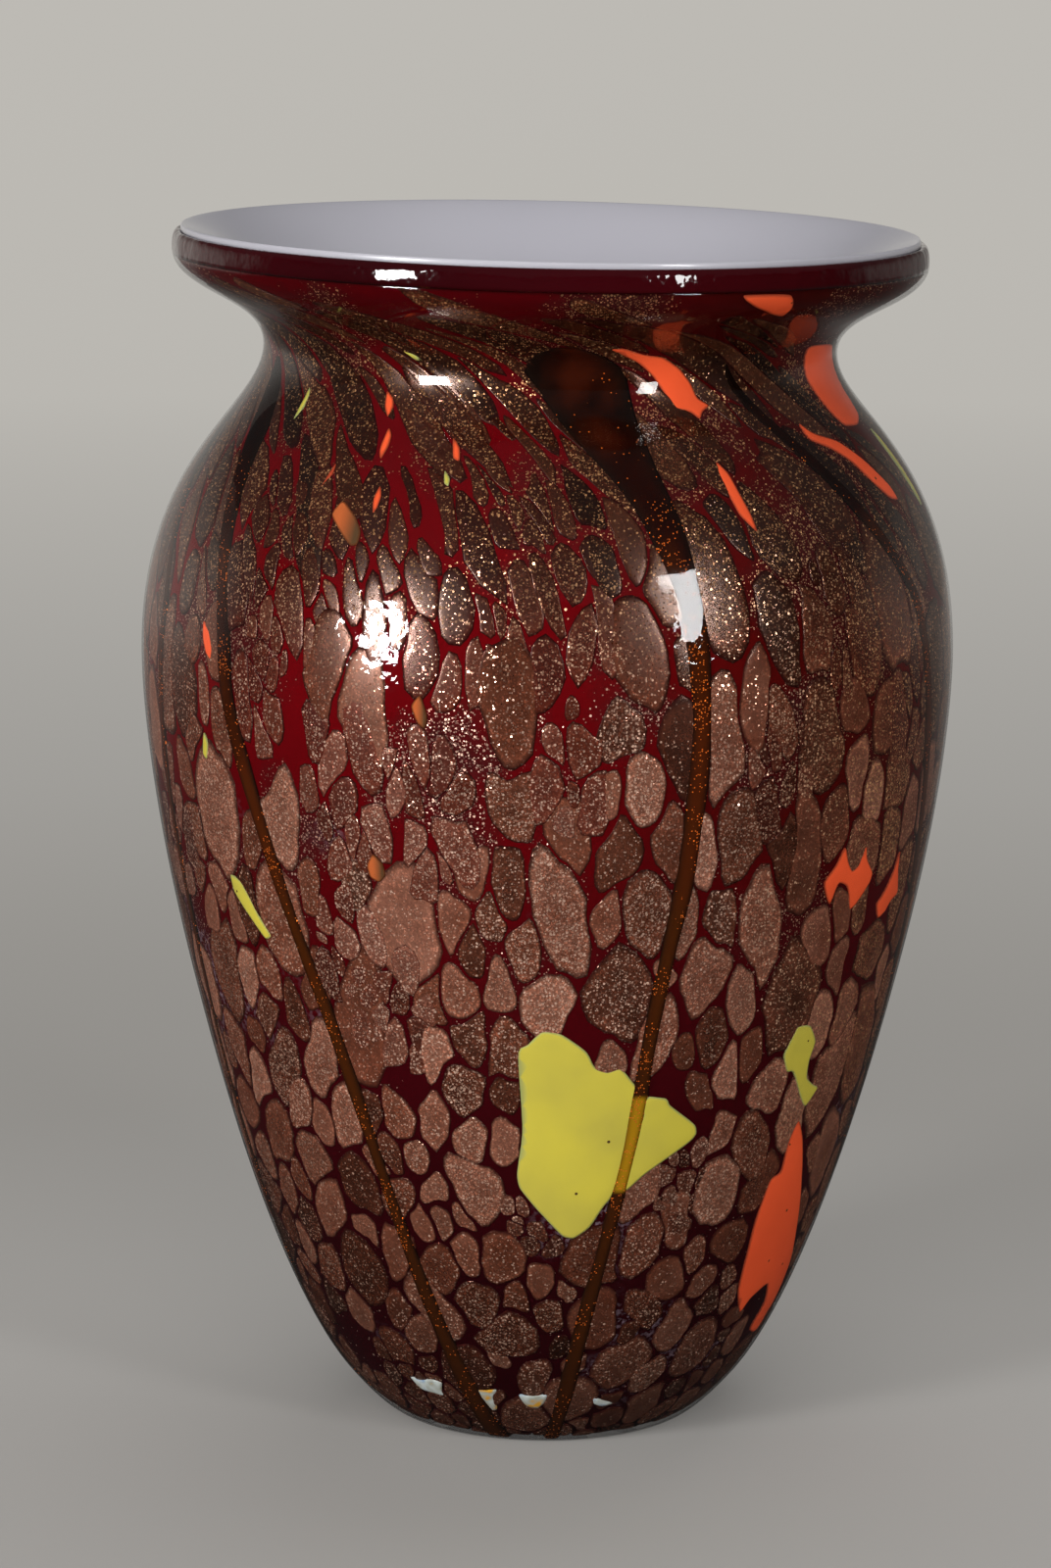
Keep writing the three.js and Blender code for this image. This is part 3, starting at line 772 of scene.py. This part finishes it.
# Each fragment's angle, height and outline
YELLOW_CHIPS = [
    (4.8, 75, LEFT_LOBE),
    (21.5, 74, RIGHT_LOBE),
    (48.2, 85, CRESCENT),
    (-49, 118, SLANT),
    (-56, 150, [[0.5, 3], [2, 0.5], [1, -3], [-0.5, -2]]),
    (-17, 206.5, [[-0.5, 2], [1, 0.5], [1, -1], [0, -0.5]]),
    (80, 203, pod(17, 2.6, -12)),
    (148, 92, [[-9, 13], [2, 17], [9, 9], [6, -6], [1, -15], [-7, -8]]),
    (-158, 68, [[-7, 6], [0, 10], [8, 5], [5, -7], [-3, -9]]),
    (-102, 176, pod(15, 3.4, -18)),
]
ORANGE_CHIPS = [
    (56, 47, TALL_FLAME),
    (50, 124.5, STAR),
    (61, 122, HOOK),
    (35.5, 240, WEDGE),
    (68, 221, CORAL),
    (21, 225, STREAK),
    (30.4, 202.5, BLADE),
    (60.5, 206.5, RIBBON),
    (-31, 197, [[-5, 2], [-3.5, 4.5], [-2.5, 4.5], [1, 2], [3, -0.5], [3, -3], [1.5, -3.5], [-1, -1.5]]),
    (-31, 219.5, [[-2, 2.5], [0, 1], [0.5, -0.5], [0, -2.5], [-1.5, -0.5]]),
    (-16, 212, [[-1.5, 2.5], [0.5, 0.5], [1, -2], [-0.5, -1.5]]),
    (-56.5, 171, [[0.5, 4.5], [3.5, 2.5], [5, -1], [4.5, -3.5], [2.5, -2], [1, 1]]),
    (-16.6, 163, [[-1, 3.5], [0.5, -1], [0, -3.5], [-1.5, -2.5], [-3, 1]]),
    (-24.6, 131, [[-0.5, 2.5], [1.5, 0.5], [2, -2], [0.5, -3.5], [-1.5, -2.5], [-2, 0]]),
    (104, 148, pod(18, 5, -8)),
    (142, 188, pod(24, 4.4, -24)),
    (-172, 132, [[-6, 8], [1, 12], [6, 4], [4, -9], [-3, -11], [-7, -1]]),
    (-108, 102, [[-5, 9], [2, 13], [6, 2], [3, -12], [-4, -8]]),
    (-142, 206, pod(16, 4, -34)),
]


def rounded(outline, cuts):
    """Chaikin's corner cutting on a closed outline, with the share that each pass cuts off."""
    points = np.asarray(outline, float)
    for cut in cuts:
        after = np.roll(points, -1, axis=0)
        pairs = [points * (1 - cut) + after * cut, points * cut + after * (1 - cut)]
        points = np.stack(pairs, axis=1).reshape(-1, 2)
    return points


# How deep undersides lie. A fragment's inner points lie CHIP_GRID apart, and its edge is bevelled.
UNDERSIDE = GROUND + 0.05
CHIP_GRID = 2.4
CHIP_EDGE = 0.45
CHIP_DROP = 0.1
# A pebble's rings, from its underside to its middle: the share of the outline, how far down from its top,
# and how much it belongs to the rim. Pebbles at the neck bend with the wall, so they have rings below too.
PEBBLE_RINGS = [
    (1.0, 1.0, 1.0), (0.985, 0.45, 1.0), (0.945, 0.2, 0.72), (0.87, 0.06, 0.38), (0.72, 0.0, 0.12),
    (0.4, 0.0, 0.0),
]
NECK_RINGS = [(share, 1.0, 0.0) for share in (0.14, 0.28, 0.42, 0.56, 0.7, 0.85)]
NECK_RINGS += PEBBLE_RINGS[:5] + [(share, 0.0, 0.0) for share in (0.6, 0.48, 0.36, 0.24, 0.12)]


def plate_mesh(edge, place, top, rings):
    """A plate with a rounded edge, ring by ring from its underside. place turns points into (angle, s)."""
    middle = edge.mean(axis=0)
    count = len(edge)
    vertices, rim = [], []
    for share, drop, nearness in rings:
        angle, s = place(middle + (edge - middle) * share)
        vertices.append(on_wall(angle, s, top + (UNDERSIDE - top) * drop))
        rim.append(np.full(count, nearness))
    angle, s = place(middle[None])
    vertices += [on_wall(angle, s, top), on_wall(angle, s, UNDERSIDE)]
    rim.append(np.zeros(2))
    faces = []
    for ring in range(len(rings) - 1):
        a, b = ring * count, (ring + 1) * count
        faces += [(a + m, a + k, b + k, b + m) for k, m in ring_pairs(count)]
    last, top_middle = (len(rings) - 1) * count, len(rings) * count
    for k, m in ring_pairs(count):
        faces += [(last + m, last + k, top_middle), (k, m, top_middle + 1)]
    return np.concatenate(vertices), faces, np.concatenate(rim)


def inside_outline(point, outline):
    x, y = point
    inside = False
    for (x0, y0), (x1, y1) in zip(outline, np.roll(outline, -1, axis=0)):
        if (y0 > y) != (y1 > y) and x < (x1 - x0) * (y - y0) / (y1 - y0) + x0:
            inside = not inside
    return inside


def edge_distance(points, outline):
    """How far each point is from a closed outline."""
    starts, ends = outline, np.roll(outline, -1, axis=0)
    way = ends - starts
    share = ((points[:, None] - starts) * way).sum(2) / (way**2).sum(1)
    nearest = starts + np.clip(share, 0, 1)[..., None] * way
    return np.linalg.norm(points[:, None] - nearest, axis=2).min(1)


def filled_mesh(edge, place, top):
    """A flat-topped piece of any outline, with points inside it that bend it with the wall."""
    low, high = edge.min(axis=0), edge.max(axis=0)
    grid = np.meshgrid(*[np.arange(a, b, CHIP_GRID) for a, b in zip(low, high)])
    grid = np.stack(grid, axis=-1).reshape(-1, 2)
    before, after = np.roll(edge, 1, axis=0), np.roll(edge, -1, axis=0)
    along = after - before
    inwards = np.stack([-along[:, 1], along[:, 0]], axis=1) / np.linalg.norm(along, axis=1)[:, None]
    area = (edge[:, 0] * after[:, 1] - edge[:, 1] * after[:, 0]).sum()
    shoulder = edge + inwards * np.sign(area) * CHIP_EDGE
    inner = np.array([p for p in grid if inside_outline(p, edge)]).reshape(-1, 2)
    bevel = np.array([p for p in shoulder if inside_outline(p, edge)]).reshape(-1, 2)
    inner = inner[edge_distance(inner, edge) > CHIP_GRID * 0.5]
    bevel = bevel[edge_distance(bevel, edge) > CHIP_EDGE * 0.8]
    points = [Vector(p) for p in np.concatenate([edge, bevel, inner])]
    flat, _, faces, _, _, _ = delaunay_2d_cdt(points, [], [list(range(len(edge)))], 1, 1e-6)
    flat = np.array(flat)
    rim = (edge_distance(flat, edge) < CHIP_EDGE * 0.5).astype(float)
    angle, s = place(flat)
    count = len(flat)
    vertices = [on_wall(angle, s, top + rim * CHIP_DROP), on_wall(angle, s, 0 * rim + UNDERSIDE)]
    sides = {(face[i], face[(i + 1) % len(face)]) for face in faces for i in range(len(face))}
    walls = [(b, a, a + count, b + count) for a, b in sides if (b, a) not in sides]
    undersides = [tuple(i + count for i in face)[::-1] for face in faces]
    faces = [tuple(face) for face in faces] + undersides + walls
    across = (flat[:, 0] - low[0]) / (high[0] - low[0])
    values = {"rim": np.concatenate([rim, rim]), "across": np.concatenate([across, across])}
    return np.concatenate(vertices), faces, values


def chip_place(angle, z):
    """How a fragment's points turn into angles and lengths along the coat."""
    def place(points):
        return math.radians(angle) + points[:, 0] / radius_at_height(z), s_at_height(z + points[:, 1])

    return place


def add_chip(name, node_name, spot, material):
    angle, z, outline = spot
    edge = rounded(outline, (0.15, 0.25))
    vertices, faces, values = filled_mesh(edge, chip_place(angle, z), CHIP_TOP)
    piece_from(name, vertices, faces, [node_name], material, values)


# The orange fragments that are ochre, and slivers that have no node of their own in the solids
MUTED = (9, 13, 14)
YELLOW_SLIVERS = [
    (-53, 218, [[-0.2, 3], [0.7, 1.5], [0.8, -1], [-0.2, -3.5], [-0.6, -1]]),
    (-28, 229.5, [[-4, 1.2], [-1.5, 0.9], [1.5, -0.4], [4, -1.8], [1, -1.2], [-2, 0.2]]),
]
ORANGE_SLIVERS = [
    (-29.5, 212.5, [[-0.6, 3], [0.7, 1.5], [0.9, -0.5], [0.2, -3], [-0.8, -1]]),
    (-27.5, 202.5, [[-0.2, 2.6], [0.8, 0.6], [0.6, -1.6], [0, -2.8], [-0.8, 0]]),
    (-38, 206, [[0.6, 2.4], [0.9, 0.2], [-0.2, -1.6], [-0.5, -2.4], [0, 0.4]]),
]
# Gaps in the coat at the foot, painted with the light that shows through them
FOOT_WINDOWS = [
    (
        -32, 13.5,
        [[-4, 2], [-1.5, 1.2], [1.5, 2.2], [4, 1.8], [3, -0.5], [3.4, -2], [0.5, -1.6], [-2.5, -1.2]],
    ),
    (
        -15, 13,
        [[-3.5, 2.2], [0.5, 1.6], [2.5, 2], [1.5, 0], [1.8, -3.4], [0.6, -4], [-0.8, -1], [-2.8, 0.4]],
    ),
    (-2.5, 12.5, [[-3, 1.6], [0, 1.2], [3.2, 1.8], [2.4, -0.6], [1, -2.2], [-1.4, -1.6]]),
    (17, 11.5, [[-2.5, 1.5], [0, 0.5], [2.5, -0.5], [0, -1.2], [-2, -0.2]]),
    (150, 12, [[-4, 0.5], [3, 1.4], [3, -1], [-1, -2.0]]),
    (-100, 13, [[-3, 1], [2.5, 2], [3, 0.5], [-1.5, -1.5]]),
]
for name, node_name, spots, slot, look in (
    ("yellow_fragment_{}", "yellow_chip_{}", YELLOW_CHIPS, "yellow_glass", YELLOW),
    ("yellow_sliver_{}", "aventurine_coat", YELLOW_SLIVERS, "yellow_glass", YELLOW),
    ("orange_sliver_{}", "aventurine_coat", ORANGE_SLIVERS, "orange_glass", ORANGE),
    ("orange_fragment_{}", "orange_chip_{}", ORANGE_CHIPS, "orange_glass", ORANGE),
    ("foot_window_{}", "crystal_casing", FOOT_WINDOWS, "clear_glass", FOOT_WINDOW),
):
    for number, spot in enumerate(spots, 1):
        material = OCHRE if spots is ORANGE_CHIPS and number in MUTED else look
        add_chip(name.format(number), node_name.format(number), spot, material)


# Pebbles are laid out on the gather before it is blown: a cylinder of radius GATHER_R, unrolled.
# Blowing widens them with the wall, pulls them longer, and twists them round at the neck.
# The tables give each quality by height or by angle.
GATHER_R = 50.0
STRETCH_BY_Z = ([0, 60, 100, 150, 185, 205, 226, 234, 244], [1.3, 1.45, 1.7, 2.0, 2.3, 2.8, 3.2, 2.2, 1.2])
LEAN_BY_Z = ([0, 120, 170, 190, 205, 218, 228, 236, 244], [0, 1, 5, 14, 27, 42, 54, 60, 50])
SIZE_BY_Z = ([0, 40, 80, 120, 165, 200, 226, 236, 244], [1.35, 1.15, 1, 0.92, 0.86, 0.82, 0.85, 1.15, 1.25])
INSET_BY_Z = ([0, 50, 100, 150, 200, 226, 240], [2.0, 1.3, 0.7, 0.8, 2.0, 1.9, 2.4])
GLITTER_BY_Z = ([0, 30, 60, 110, 150, 190, 244], [0.6, 0.9, 1.2, 1.25, 1.15, 0.8, 0.75])
TONE_BY_Z = ([0, 100, 160, 190, 244], [0.04, 0.06, 0.0, -0.05, -0.05])
# Painted light and shade on the right side: pebbles there are made a little lighter between 60 and 140 mm and
# darker above.
RIGHT_SHADE_BY_Z = ([60, 95, 125, 155], [0.0, -0.6, -0.4, 1.0])
RIGHT_SHADE_BY_ANGLE = ([-180, 20, 45, 90, 130, 180], [0.0, 0.0, -0.22, -0.22, 0.0, 0.0])
COAT_ENDS = ([-180, -60, 40, 48, 61, 75, 110, 130, 180], [242, 243.5, 243.5, 239, 232.5, 230, 231, 239, 242])
S_LOW = 14.0
NECK_FROM = 180.0
# A share of the pebbles has few flakes, but all above PLAIN_BELOW have many
PLAIN_SHARE = 0.16
PLAIN_BELOW = 165.0
PLAIN_GLITTER = 0.2
# How seeds are thrown: the tries, how their sizes spread, how near two may lie, and how far their cells reach
THROWS = 60000
SIZE_SPREAD = 0.42
TOUCH = 0.47
CELL_REACH = 0.84
CELL_NEIGHBOURS = 25

stations = np.linspace(S_LOW, S_TOP, 900)
station_r = np.maximum(radius_at_s(stations), 10.0)
station_z = height_at_s(stations)
steps = np.gradient(stations)
station_v = np.cumsum(steps * GATHER_R / station_r / np.interp(station_z, *STRETCH_BY_Z))
station_twist = np.cumsum(-np.tan(np.radians(np.interp(station_z, *LEAN_BY_Z))) / station_r * steps)
GATHER_LENGTH = float(station_v[-1])
GATHER_ROUND = 2 * math.pi * GATHER_R


def gather_place(points):
    s = np.interp(points[:, 1], station_v, stations)
    return points[:, 0] / GATHER_R + np.interp(s, stations, station_twist), s


def melted(points):
    """Bends the outlines a little, and its neighbours' alike."""
    turn, v = points[:, 0] / GATHER_R, points[:, 1]
    across = np.sin(0.9 * v + 1.2 * np.sin(26 * turn)) + 0.5 * np.sin(2.1 * v + 45 * turn)
    along = np.sin(38 * turn + 1.1 * np.sin(0.7 * v)) + 0.5 * np.sin(83 * turn - 1.7 * v)
    return points + 0.28 * np.stack([across, along], axis=1)


def coat_end_v(angle):
    z = float(np.interp(angle, *COAT_ENDS))
    return float(np.interp(s_at_height(z), stations, station_v))


def blown_place(u, v):
    """Angle in degrees and height of a point of the gather."""
    angle, s = gather_place(np.array([[u, v]]))
    return (math.degrees(angle[0]) + 180) % 360 - 180, float(height_at_s(s[0]))


# Where the fragments broke into crumbs: angle, height and reach in millimetres
CRUMBLED = [
    (-14, 201, 12), (-22, 191, 10), (-6, 190, 13), (2, 178, 11), (-12, 178, 8), (-40, 186, 12),
    (-44, 166, 7), (-28, 146, 10), (-16, 142, 8), (3, 150, 6), (-30, 112, 8), (-24, 100, 8), (-2, 56, 6),
    (26, 62, 6), (34, 150, 7), (46, 182, 10), (60, 160, 8), (-70, 130, 9), (-96, 196, 12),
    (-120, 150, 10), (-150, 178, 14), (-165, 100, 9), (176, 196, 12), (-50, 193, 9), (150, 140, 10),
    (120, 178, 13), (112, 88, 9), (84, 120, 8), (95, 205, 9),
]


def angle_between(angle, other):
    """In radians, for angles in degrees."""
    return math.radians((angle - other + 180) % 360 - 180)


def crumbles(angle, z):
    r = radius_at_height(z)
    for crumb_angle, crumb_z, reach in CRUMBLED:
        across = angle_between(angle, crumb_angle) * r
        if math.hypot(across, (z - crumb_z) / 1.5) < reach:
            return True
    return False


def thrown_seeds(rng, mean, wanted, most):
    """Dart throwing with a size for each seed, on a strip that closes round. wanted gives the size factor
    at an angle and height, or 0 where no seed may lie."""
    places, sizes, grid = [], [], {}
    columns = int(GATHER_ROUND // (mean * 2.9))
    width = GATHER_ROUND / columns
    for _ in range(THROWS):
        u, v = rng.uniform(0, GATHER_ROUND), rng.uniform(-2, GATHER_LENGTH + 2)
        spread = float(np.clip(rng.lognormal(0.0, SIZE_SPREAD), 0.42, most))
        size = mean * spread * wanted(*blown_place(u, v))
        if size == 0:
            continue
        gx, gy = int(u // width), int(v // width)
        clear = True
        for i in (-1, 0, 1):
            for j in (-1, 0, 1):
                for k in grid.get(((gx + i) % columns, gy + j), ()):
                    du = abs(places[k][0] - u)
                    du = min(du, GATHER_ROUND - du)
                    if du * du + (places[k][1] - v) ** 2 < (TOUCH * (sizes[k] + size)) ** 2:
                        clear = False
        if clear:
            grid.setdefault((gx, gy), []).append(len(places))
            places.append((u, v))
            sizes.append(size)
    return np.array(places), np.array(sizes)


def clipped(polygon, normal, offset):
    """The part of a convex polygon where normal . p < offset."""
    side = polygon @ normal - offset
    kept = []
    for i in range(len(polygon)):
        j = (i + 1) % len(polygon)
        if side[i] < 0:
            kept.append(polygon[i])
        if (side[i] < 0) != (side[j] < 0):
            kept.append(polygon[i] + (polygon[j] - polygon[i]) * side[i] / (side[i] - side[j]))
    return np.array(kept)


def offsets_from(k, places):
    delta = places - places[k]
    delta[:, 0] -= GATHER_ROUND * np.round(delta[:, 0] / GATHER_ROUND)
    return delta, np.hypot(delta[:, 0], delta[:, 1])


def pebble_cell(k, places, sizes, inset):
    """The seed's cell among its neighbours', drawn in by inset, round the seed."""
    delta, distance = offsets_from(k, places)
    half = sizes[k] * CELL_REACH
    polygon = np.array([[-half, -half], [half, -half], [half, half], [-half, half]])
    for j in np.argsort(distance)[1 : CELL_NEIGHBOURS + 1]:
        normal = delta[j] / distance[j]
        border = (distance[j] ** 2 + (sizes[k] / 2) ** 2 - (sizes[j] / 2) ** 2) / (2 * distance[j])
        polygon = clipped(polygon, normal, border - inset)
        if len(polygon) < 3:
            return None
    return polygon


def hull_of(points):
    """The convex hull of points, counterclockwise."""
    ordered = sorted(map(tuple, points))
    sides = []
    for run in (ordered, ordered[::-1]):
        side = []
        for x, y in run:
            while len(side) > 1:
                (x0, y0), (x1, y1) = side[-2:]
                if (x1 - x0) * (y - y0) > (y1 - y0) * (x - x0):
                    break
                side.pop()
            side.append((x, y))
        sides += side[:-1]
    return np.array(sides)


def resampled(points, count):
    closed = np.concatenate([points, points[:1]])
    run = np.concatenate([[0], np.cumsum(np.linalg.norm(np.diff(closed, axis=0), axis=1))])
    at = np.linspace(0, run[-1], count, endpoint=False)
    return np.stack([np.interp(at, run, closed[:, 0]), np.interp(at, run, closed[:, 1])], axis=1)


def in_a_chip(angle, z):
    for chip_angle, chip_z, outline in YELLOW_CHIPS + ORANGE_CHIPS:
        r = radius_at_height(chip_z)
        across = angle_between(angle, chip_angle) * r
        if inside_outline((across, z - chip_z), np.array(outline, float)):
            return True
    return False


def under_a_wide_trail(angle, z):
    for stops in TRAILS:
        heights, angles, widths = zip(*stops)
        if z < heights[-1]:
            across = angle_between(angle, np.interp(z, heights, angles))
            reach = np.interp(z, heights, widths) / 2
            if reach > 3 and abs(across) * radius_at_height(z) < reach - 1:
                return True
    return False


def pebble_partners(rng, places, share):
    """Some pebbles melt into their nearest neighbour. Gives each one's partner, or -1, and those used up."""
    partner, used = np.full(len(places), -1), np.zeros(len(places), bool)
    for k in np.flatnonzero(rng.uniform(size=len(places)) < share):
        nearest = int(np.argsort(offsets_from(k, places)[1])[1])
        if not used[k] and not used[nearest] and partner[nearest] < 0:
            partner[k], used[nearest] = nearest, True
    return partner, used


def add_pebbles(
    name, groups, rng, seeds, edge_points, inset_range, merged, missing, skip, glitter_range, dust
):
    """Pebbles from thrown seeds, in a few meshes. merged and missing are shares of them."""
    places, sizes = seeds
    partner, used = pebble_partners(rng, places, merged)
    made = [{"vertices": [], "faces": [], "values": [], "count": 0} for _ in range(groups)]
    turn = np.arange(edge_points) / edge_points * 2 * math.pi
    for k in range(len(places)):
        angle, z = blown_place(*places[k])
        inset = (inset_range[0] + inset_range[1] * rng.beta(1.3, 3.0)) * np.interp(z, *INSET_BY_Z)
        tone_and_shade = rng.beta(1.5, 1.5) + np.interp(z, *TONE_BY_Z)
        # Painted light and shade on the right side
        tone_and_shade += np.interp(angle, *RIGHT_SHADE_BY_ANGLE) * np.interp(z, *RIGHT_SHADE_BY_Z)
        glitter = glitter_range[0] + glitter_range[1] * rng.uniform() ** 1.4
        plain, sheen, cut = rng.uniform() < PLAIN_SHARE, rng.uniform() ** 2, rng.uniform(0.16, 0.3)
        if plain and dust == 0 and z < PLAIN_BELOW:
            glitter = PLAIN_GLITTER
        glitter = glitter * np.interp(z, *GLITTER_BY_Z)
        lift, wobble = rng.uniform(-PEBBLE_UNEVEN, PEBBLE_UNEVEN), rng.uniform(0, 2 * math.pi, 2)
        if rng.uniform() < missing or used[k] or skip(angle, z):
            continue
        polygon = pebble_cell(k, places, sizes, inset)
        if polygon is None:
            continue
        if partner[k] >= 0:
            other = pebble_cell(partner[k], places, sizes, inset)
            if other is not None:
                other = other + offsets_from(k, places)[0][partner[k]]
                polygon = hull_of(np.concatenate([polygon, other])) * 0.97
        room = coat_end_v(angle) - places[k][1]
        if room < 0.3 * sizes[k]:
            continue
        polygon = clipped(polygon, np.array([0.0, 1.0]), room)
        edge = resampled(rounded(polygon, (cut, 0.25, 0.25)), edge_points)
        swell = 1 + 0.025 * np.sin(2 * turn + wobble[0]) + 0.03 * np.sin(3 * turn + wobble[1])
        middle = edge.mean(axis=0)
        edge = melted(middle + (edge - middle) * swell[:, None] + places[k])
        edge[:, 1] = np.clip(edge[:, 1], 0.0, GATHER_LENGTH)
        rings = NECK_RINGS if z > NECK_FROM else PEBBLE_RINGS
        vertices, faces, rim = plate_mesh(edge, gather_place, PEBBLE_TOP + lift, rings)
        group = made[k % groups]
        group["faces"] += [tuple(i + group["count"] for i in face) for face in faces]
        group["vertices"].append(vertices)
        group["values"].append(np.stack([rim] + [rim * 0 + v for v in (tone_and_shade, glitter, dust, sheen)], axis=1))
        group["count"] += len(vertices)
    for number, group in enumerate(made, 1):
        vertices, values = np.concatenate(group["vertices"]), np.concatenate(group["values"])
        values = dict(zip(("rim", "tone_and_shade", "glitter", "dust", "sheen"), values.T))
        coat_nodes, faces = ["aventurine_coat"], group["faces"]
        piece_from(f"{name}_{number}", vertices, faces, coat_nodes, AVENTURINE, values)


def covered(angle, z):
    return in_a_chip(angle, z) or under_a_wide_trail(angle, z)


pebble_rng = np.random.default_rng(SEED + 1)
add_pebbles(
    "aventurine_pebbles",
    4,
    pebble_rng,
    thrown_seeds(pebble_rng, 6.0, lambda angle, z: np.interp(z, *SIZE_BY_Z), 1.65),
    edge_points=22,
    inset_range=(0.02, 0.34),
    merged=0.22,
    missing=0.01,
    skip=lambda angle, z: covered(angle, z) or crumbles(angle, z),
    glitter_range=(0.3, 0.6),
    dust=0.0,
)
crumb_rng = np.random.default_rng(SEED + 2)
add_pebbles(
    "aventurine_crumbs",
    1,
    crumb_rng,
    thrown_seeds(crumb_rng, 2.3, crumbles, 1.7),
    edge_points=12,
    inset_range=(0.01, 0.12),
    merged=0.3,
    missing=0.03,
    skip=covered,
    glitter_range=(0.5, 0.4),
    dust=0.4,
)


# Floor: a wide disc that curves up all round
def add_floor():
    flat, rise = 2.2, 1.6
    turn = np.linspace(0, math.pi / 2, 25)
    r = np.concatenate([[0.0], np.linspace(0.05, flat, 12), flat + rise * np.sin(turn[1:])])
    z = np.concatenate([np.zeros(13), rise * (1 - np.cos(turn[1:]))])
    count = 96
    ring = np.arange(count) * 2 * math.pi / count
    vertices = [(0.0, 0.0, 0.0)]
    for a, b in zip(r[1:], z[1:]):
        vertices += [(a * math.sin(t), -a * math.cos(t), b) for t in ring]
    faces = [(0, 1 + k, 1 + m) for k, m in ring_pairs(count)]
    for i in range(len(r) - 2):
        a, b = 1 + i * count, 1 + (i + 1) * count
        faces += [(a + k, b + k, b + m, a + m) for k, m in ring_pairs(count)]
    mesh = bpy.data.meshes.new("studio_floor")
    mesh.from_pydata(vertices, [], faces)
    mesh.shade_smooth()
    mesh.materials.append(studio_material())
    floor = bpy.data.objects.new("studio_floor", mesh)
    bpy.context.collection.objects.link(floor)


add_floor()


# Light: two softboxes in front that the glass mirrors, two broad lamps that it doesn't, and a soft room
LIT_SPOT = Vector((0.0, 0.0, 0.16))


def add_softbox(name, azimuth, elevation, distance, size, watts):
    lamp = bpy.data.lights.new(name, "AREA")
    lamp.shape = "RECTANGLE"
    lamp.size, lamp.size_y = size
    lamp.energy = watts
    box = bpy.data.objects.new(name, lamp)
    a, e = math.radians(azimuth), math.radians(elevation)
    away = Vector((math.sin(a) * math.cos(e), -math.cos(a) * math.cos(e), math.sin(e)))
    box.location = LIT_SPOT + away * distance
    box.rotation_mode = "QUATERNION"
    box.rotation_quaternion = away.to_track_quat("Z", "Y")
    bpy.context.collection.objects.link(box)
    return box


add_softbox("softbox_left", -46, 11, 1.5, (0.30, 0.44), 17)
add_softbox("softbox_right", 39, 18, 1.5, (0.22, 0.56), 7.4)
add_softbox("overhead", 164, 66, 1.7, (1.6, 1.6), 16).visible_glossy = False
add_softbox("front_fill", -4, 24, 1.8, (1.4, 1.0), 14.5).visible_glossy = False

world = bpy.data.worlds.new("soft_room")
world.use_nodes = True
background = world.node_tree.nodes["Background"]
background.inputs["Color"].default_value = (0.50, 0.50, 0.50, 1.0)
background.inputs["Strength"].default_value = 0.12
bpy.context.scene.world = world
bpy.context.scene.view_settings.view_transform = "Standard"

# Camera: the photograph's, 1072 x 1600 pixels
PHOTO_SIDE = 1600
FOCAL_PIXELS = 5392
SENSOR = 36.0
CAMERA_BACK, CAMERA_HIGH = 1.091, 0.340
AXIS_RIGHT_PIXELS = 21.2
AXIS_DEPTH = 1.11
PITCH, ROLL = 10.71, 0.45
camera_data = bpy.data.cameras.new("camera")
camera_data.sensor_width = SENSOR
camera_data.lens = SENSOR * FOCAL_PIXELS / PHOTO_SIDE
camera = bpy.data.objects.new("camera", camera_data)
bpy.context.collection.objects.link(camera)
camera.location = (-AXIS_RIGHT_PIXELS / FOCAL_PIXELS * AXIS_DEPTH, -CAMERA_BACK, CAMERA_HIGH)
facing = Matrix.Rotation(math.radians(90 - PITCH), 4, "X") @ Matrix.Rotation(math.radians(ROLL), 4, "Z")
camera.rotation_euler = facing.to_euler()
bpy.context.scene.camera = camera
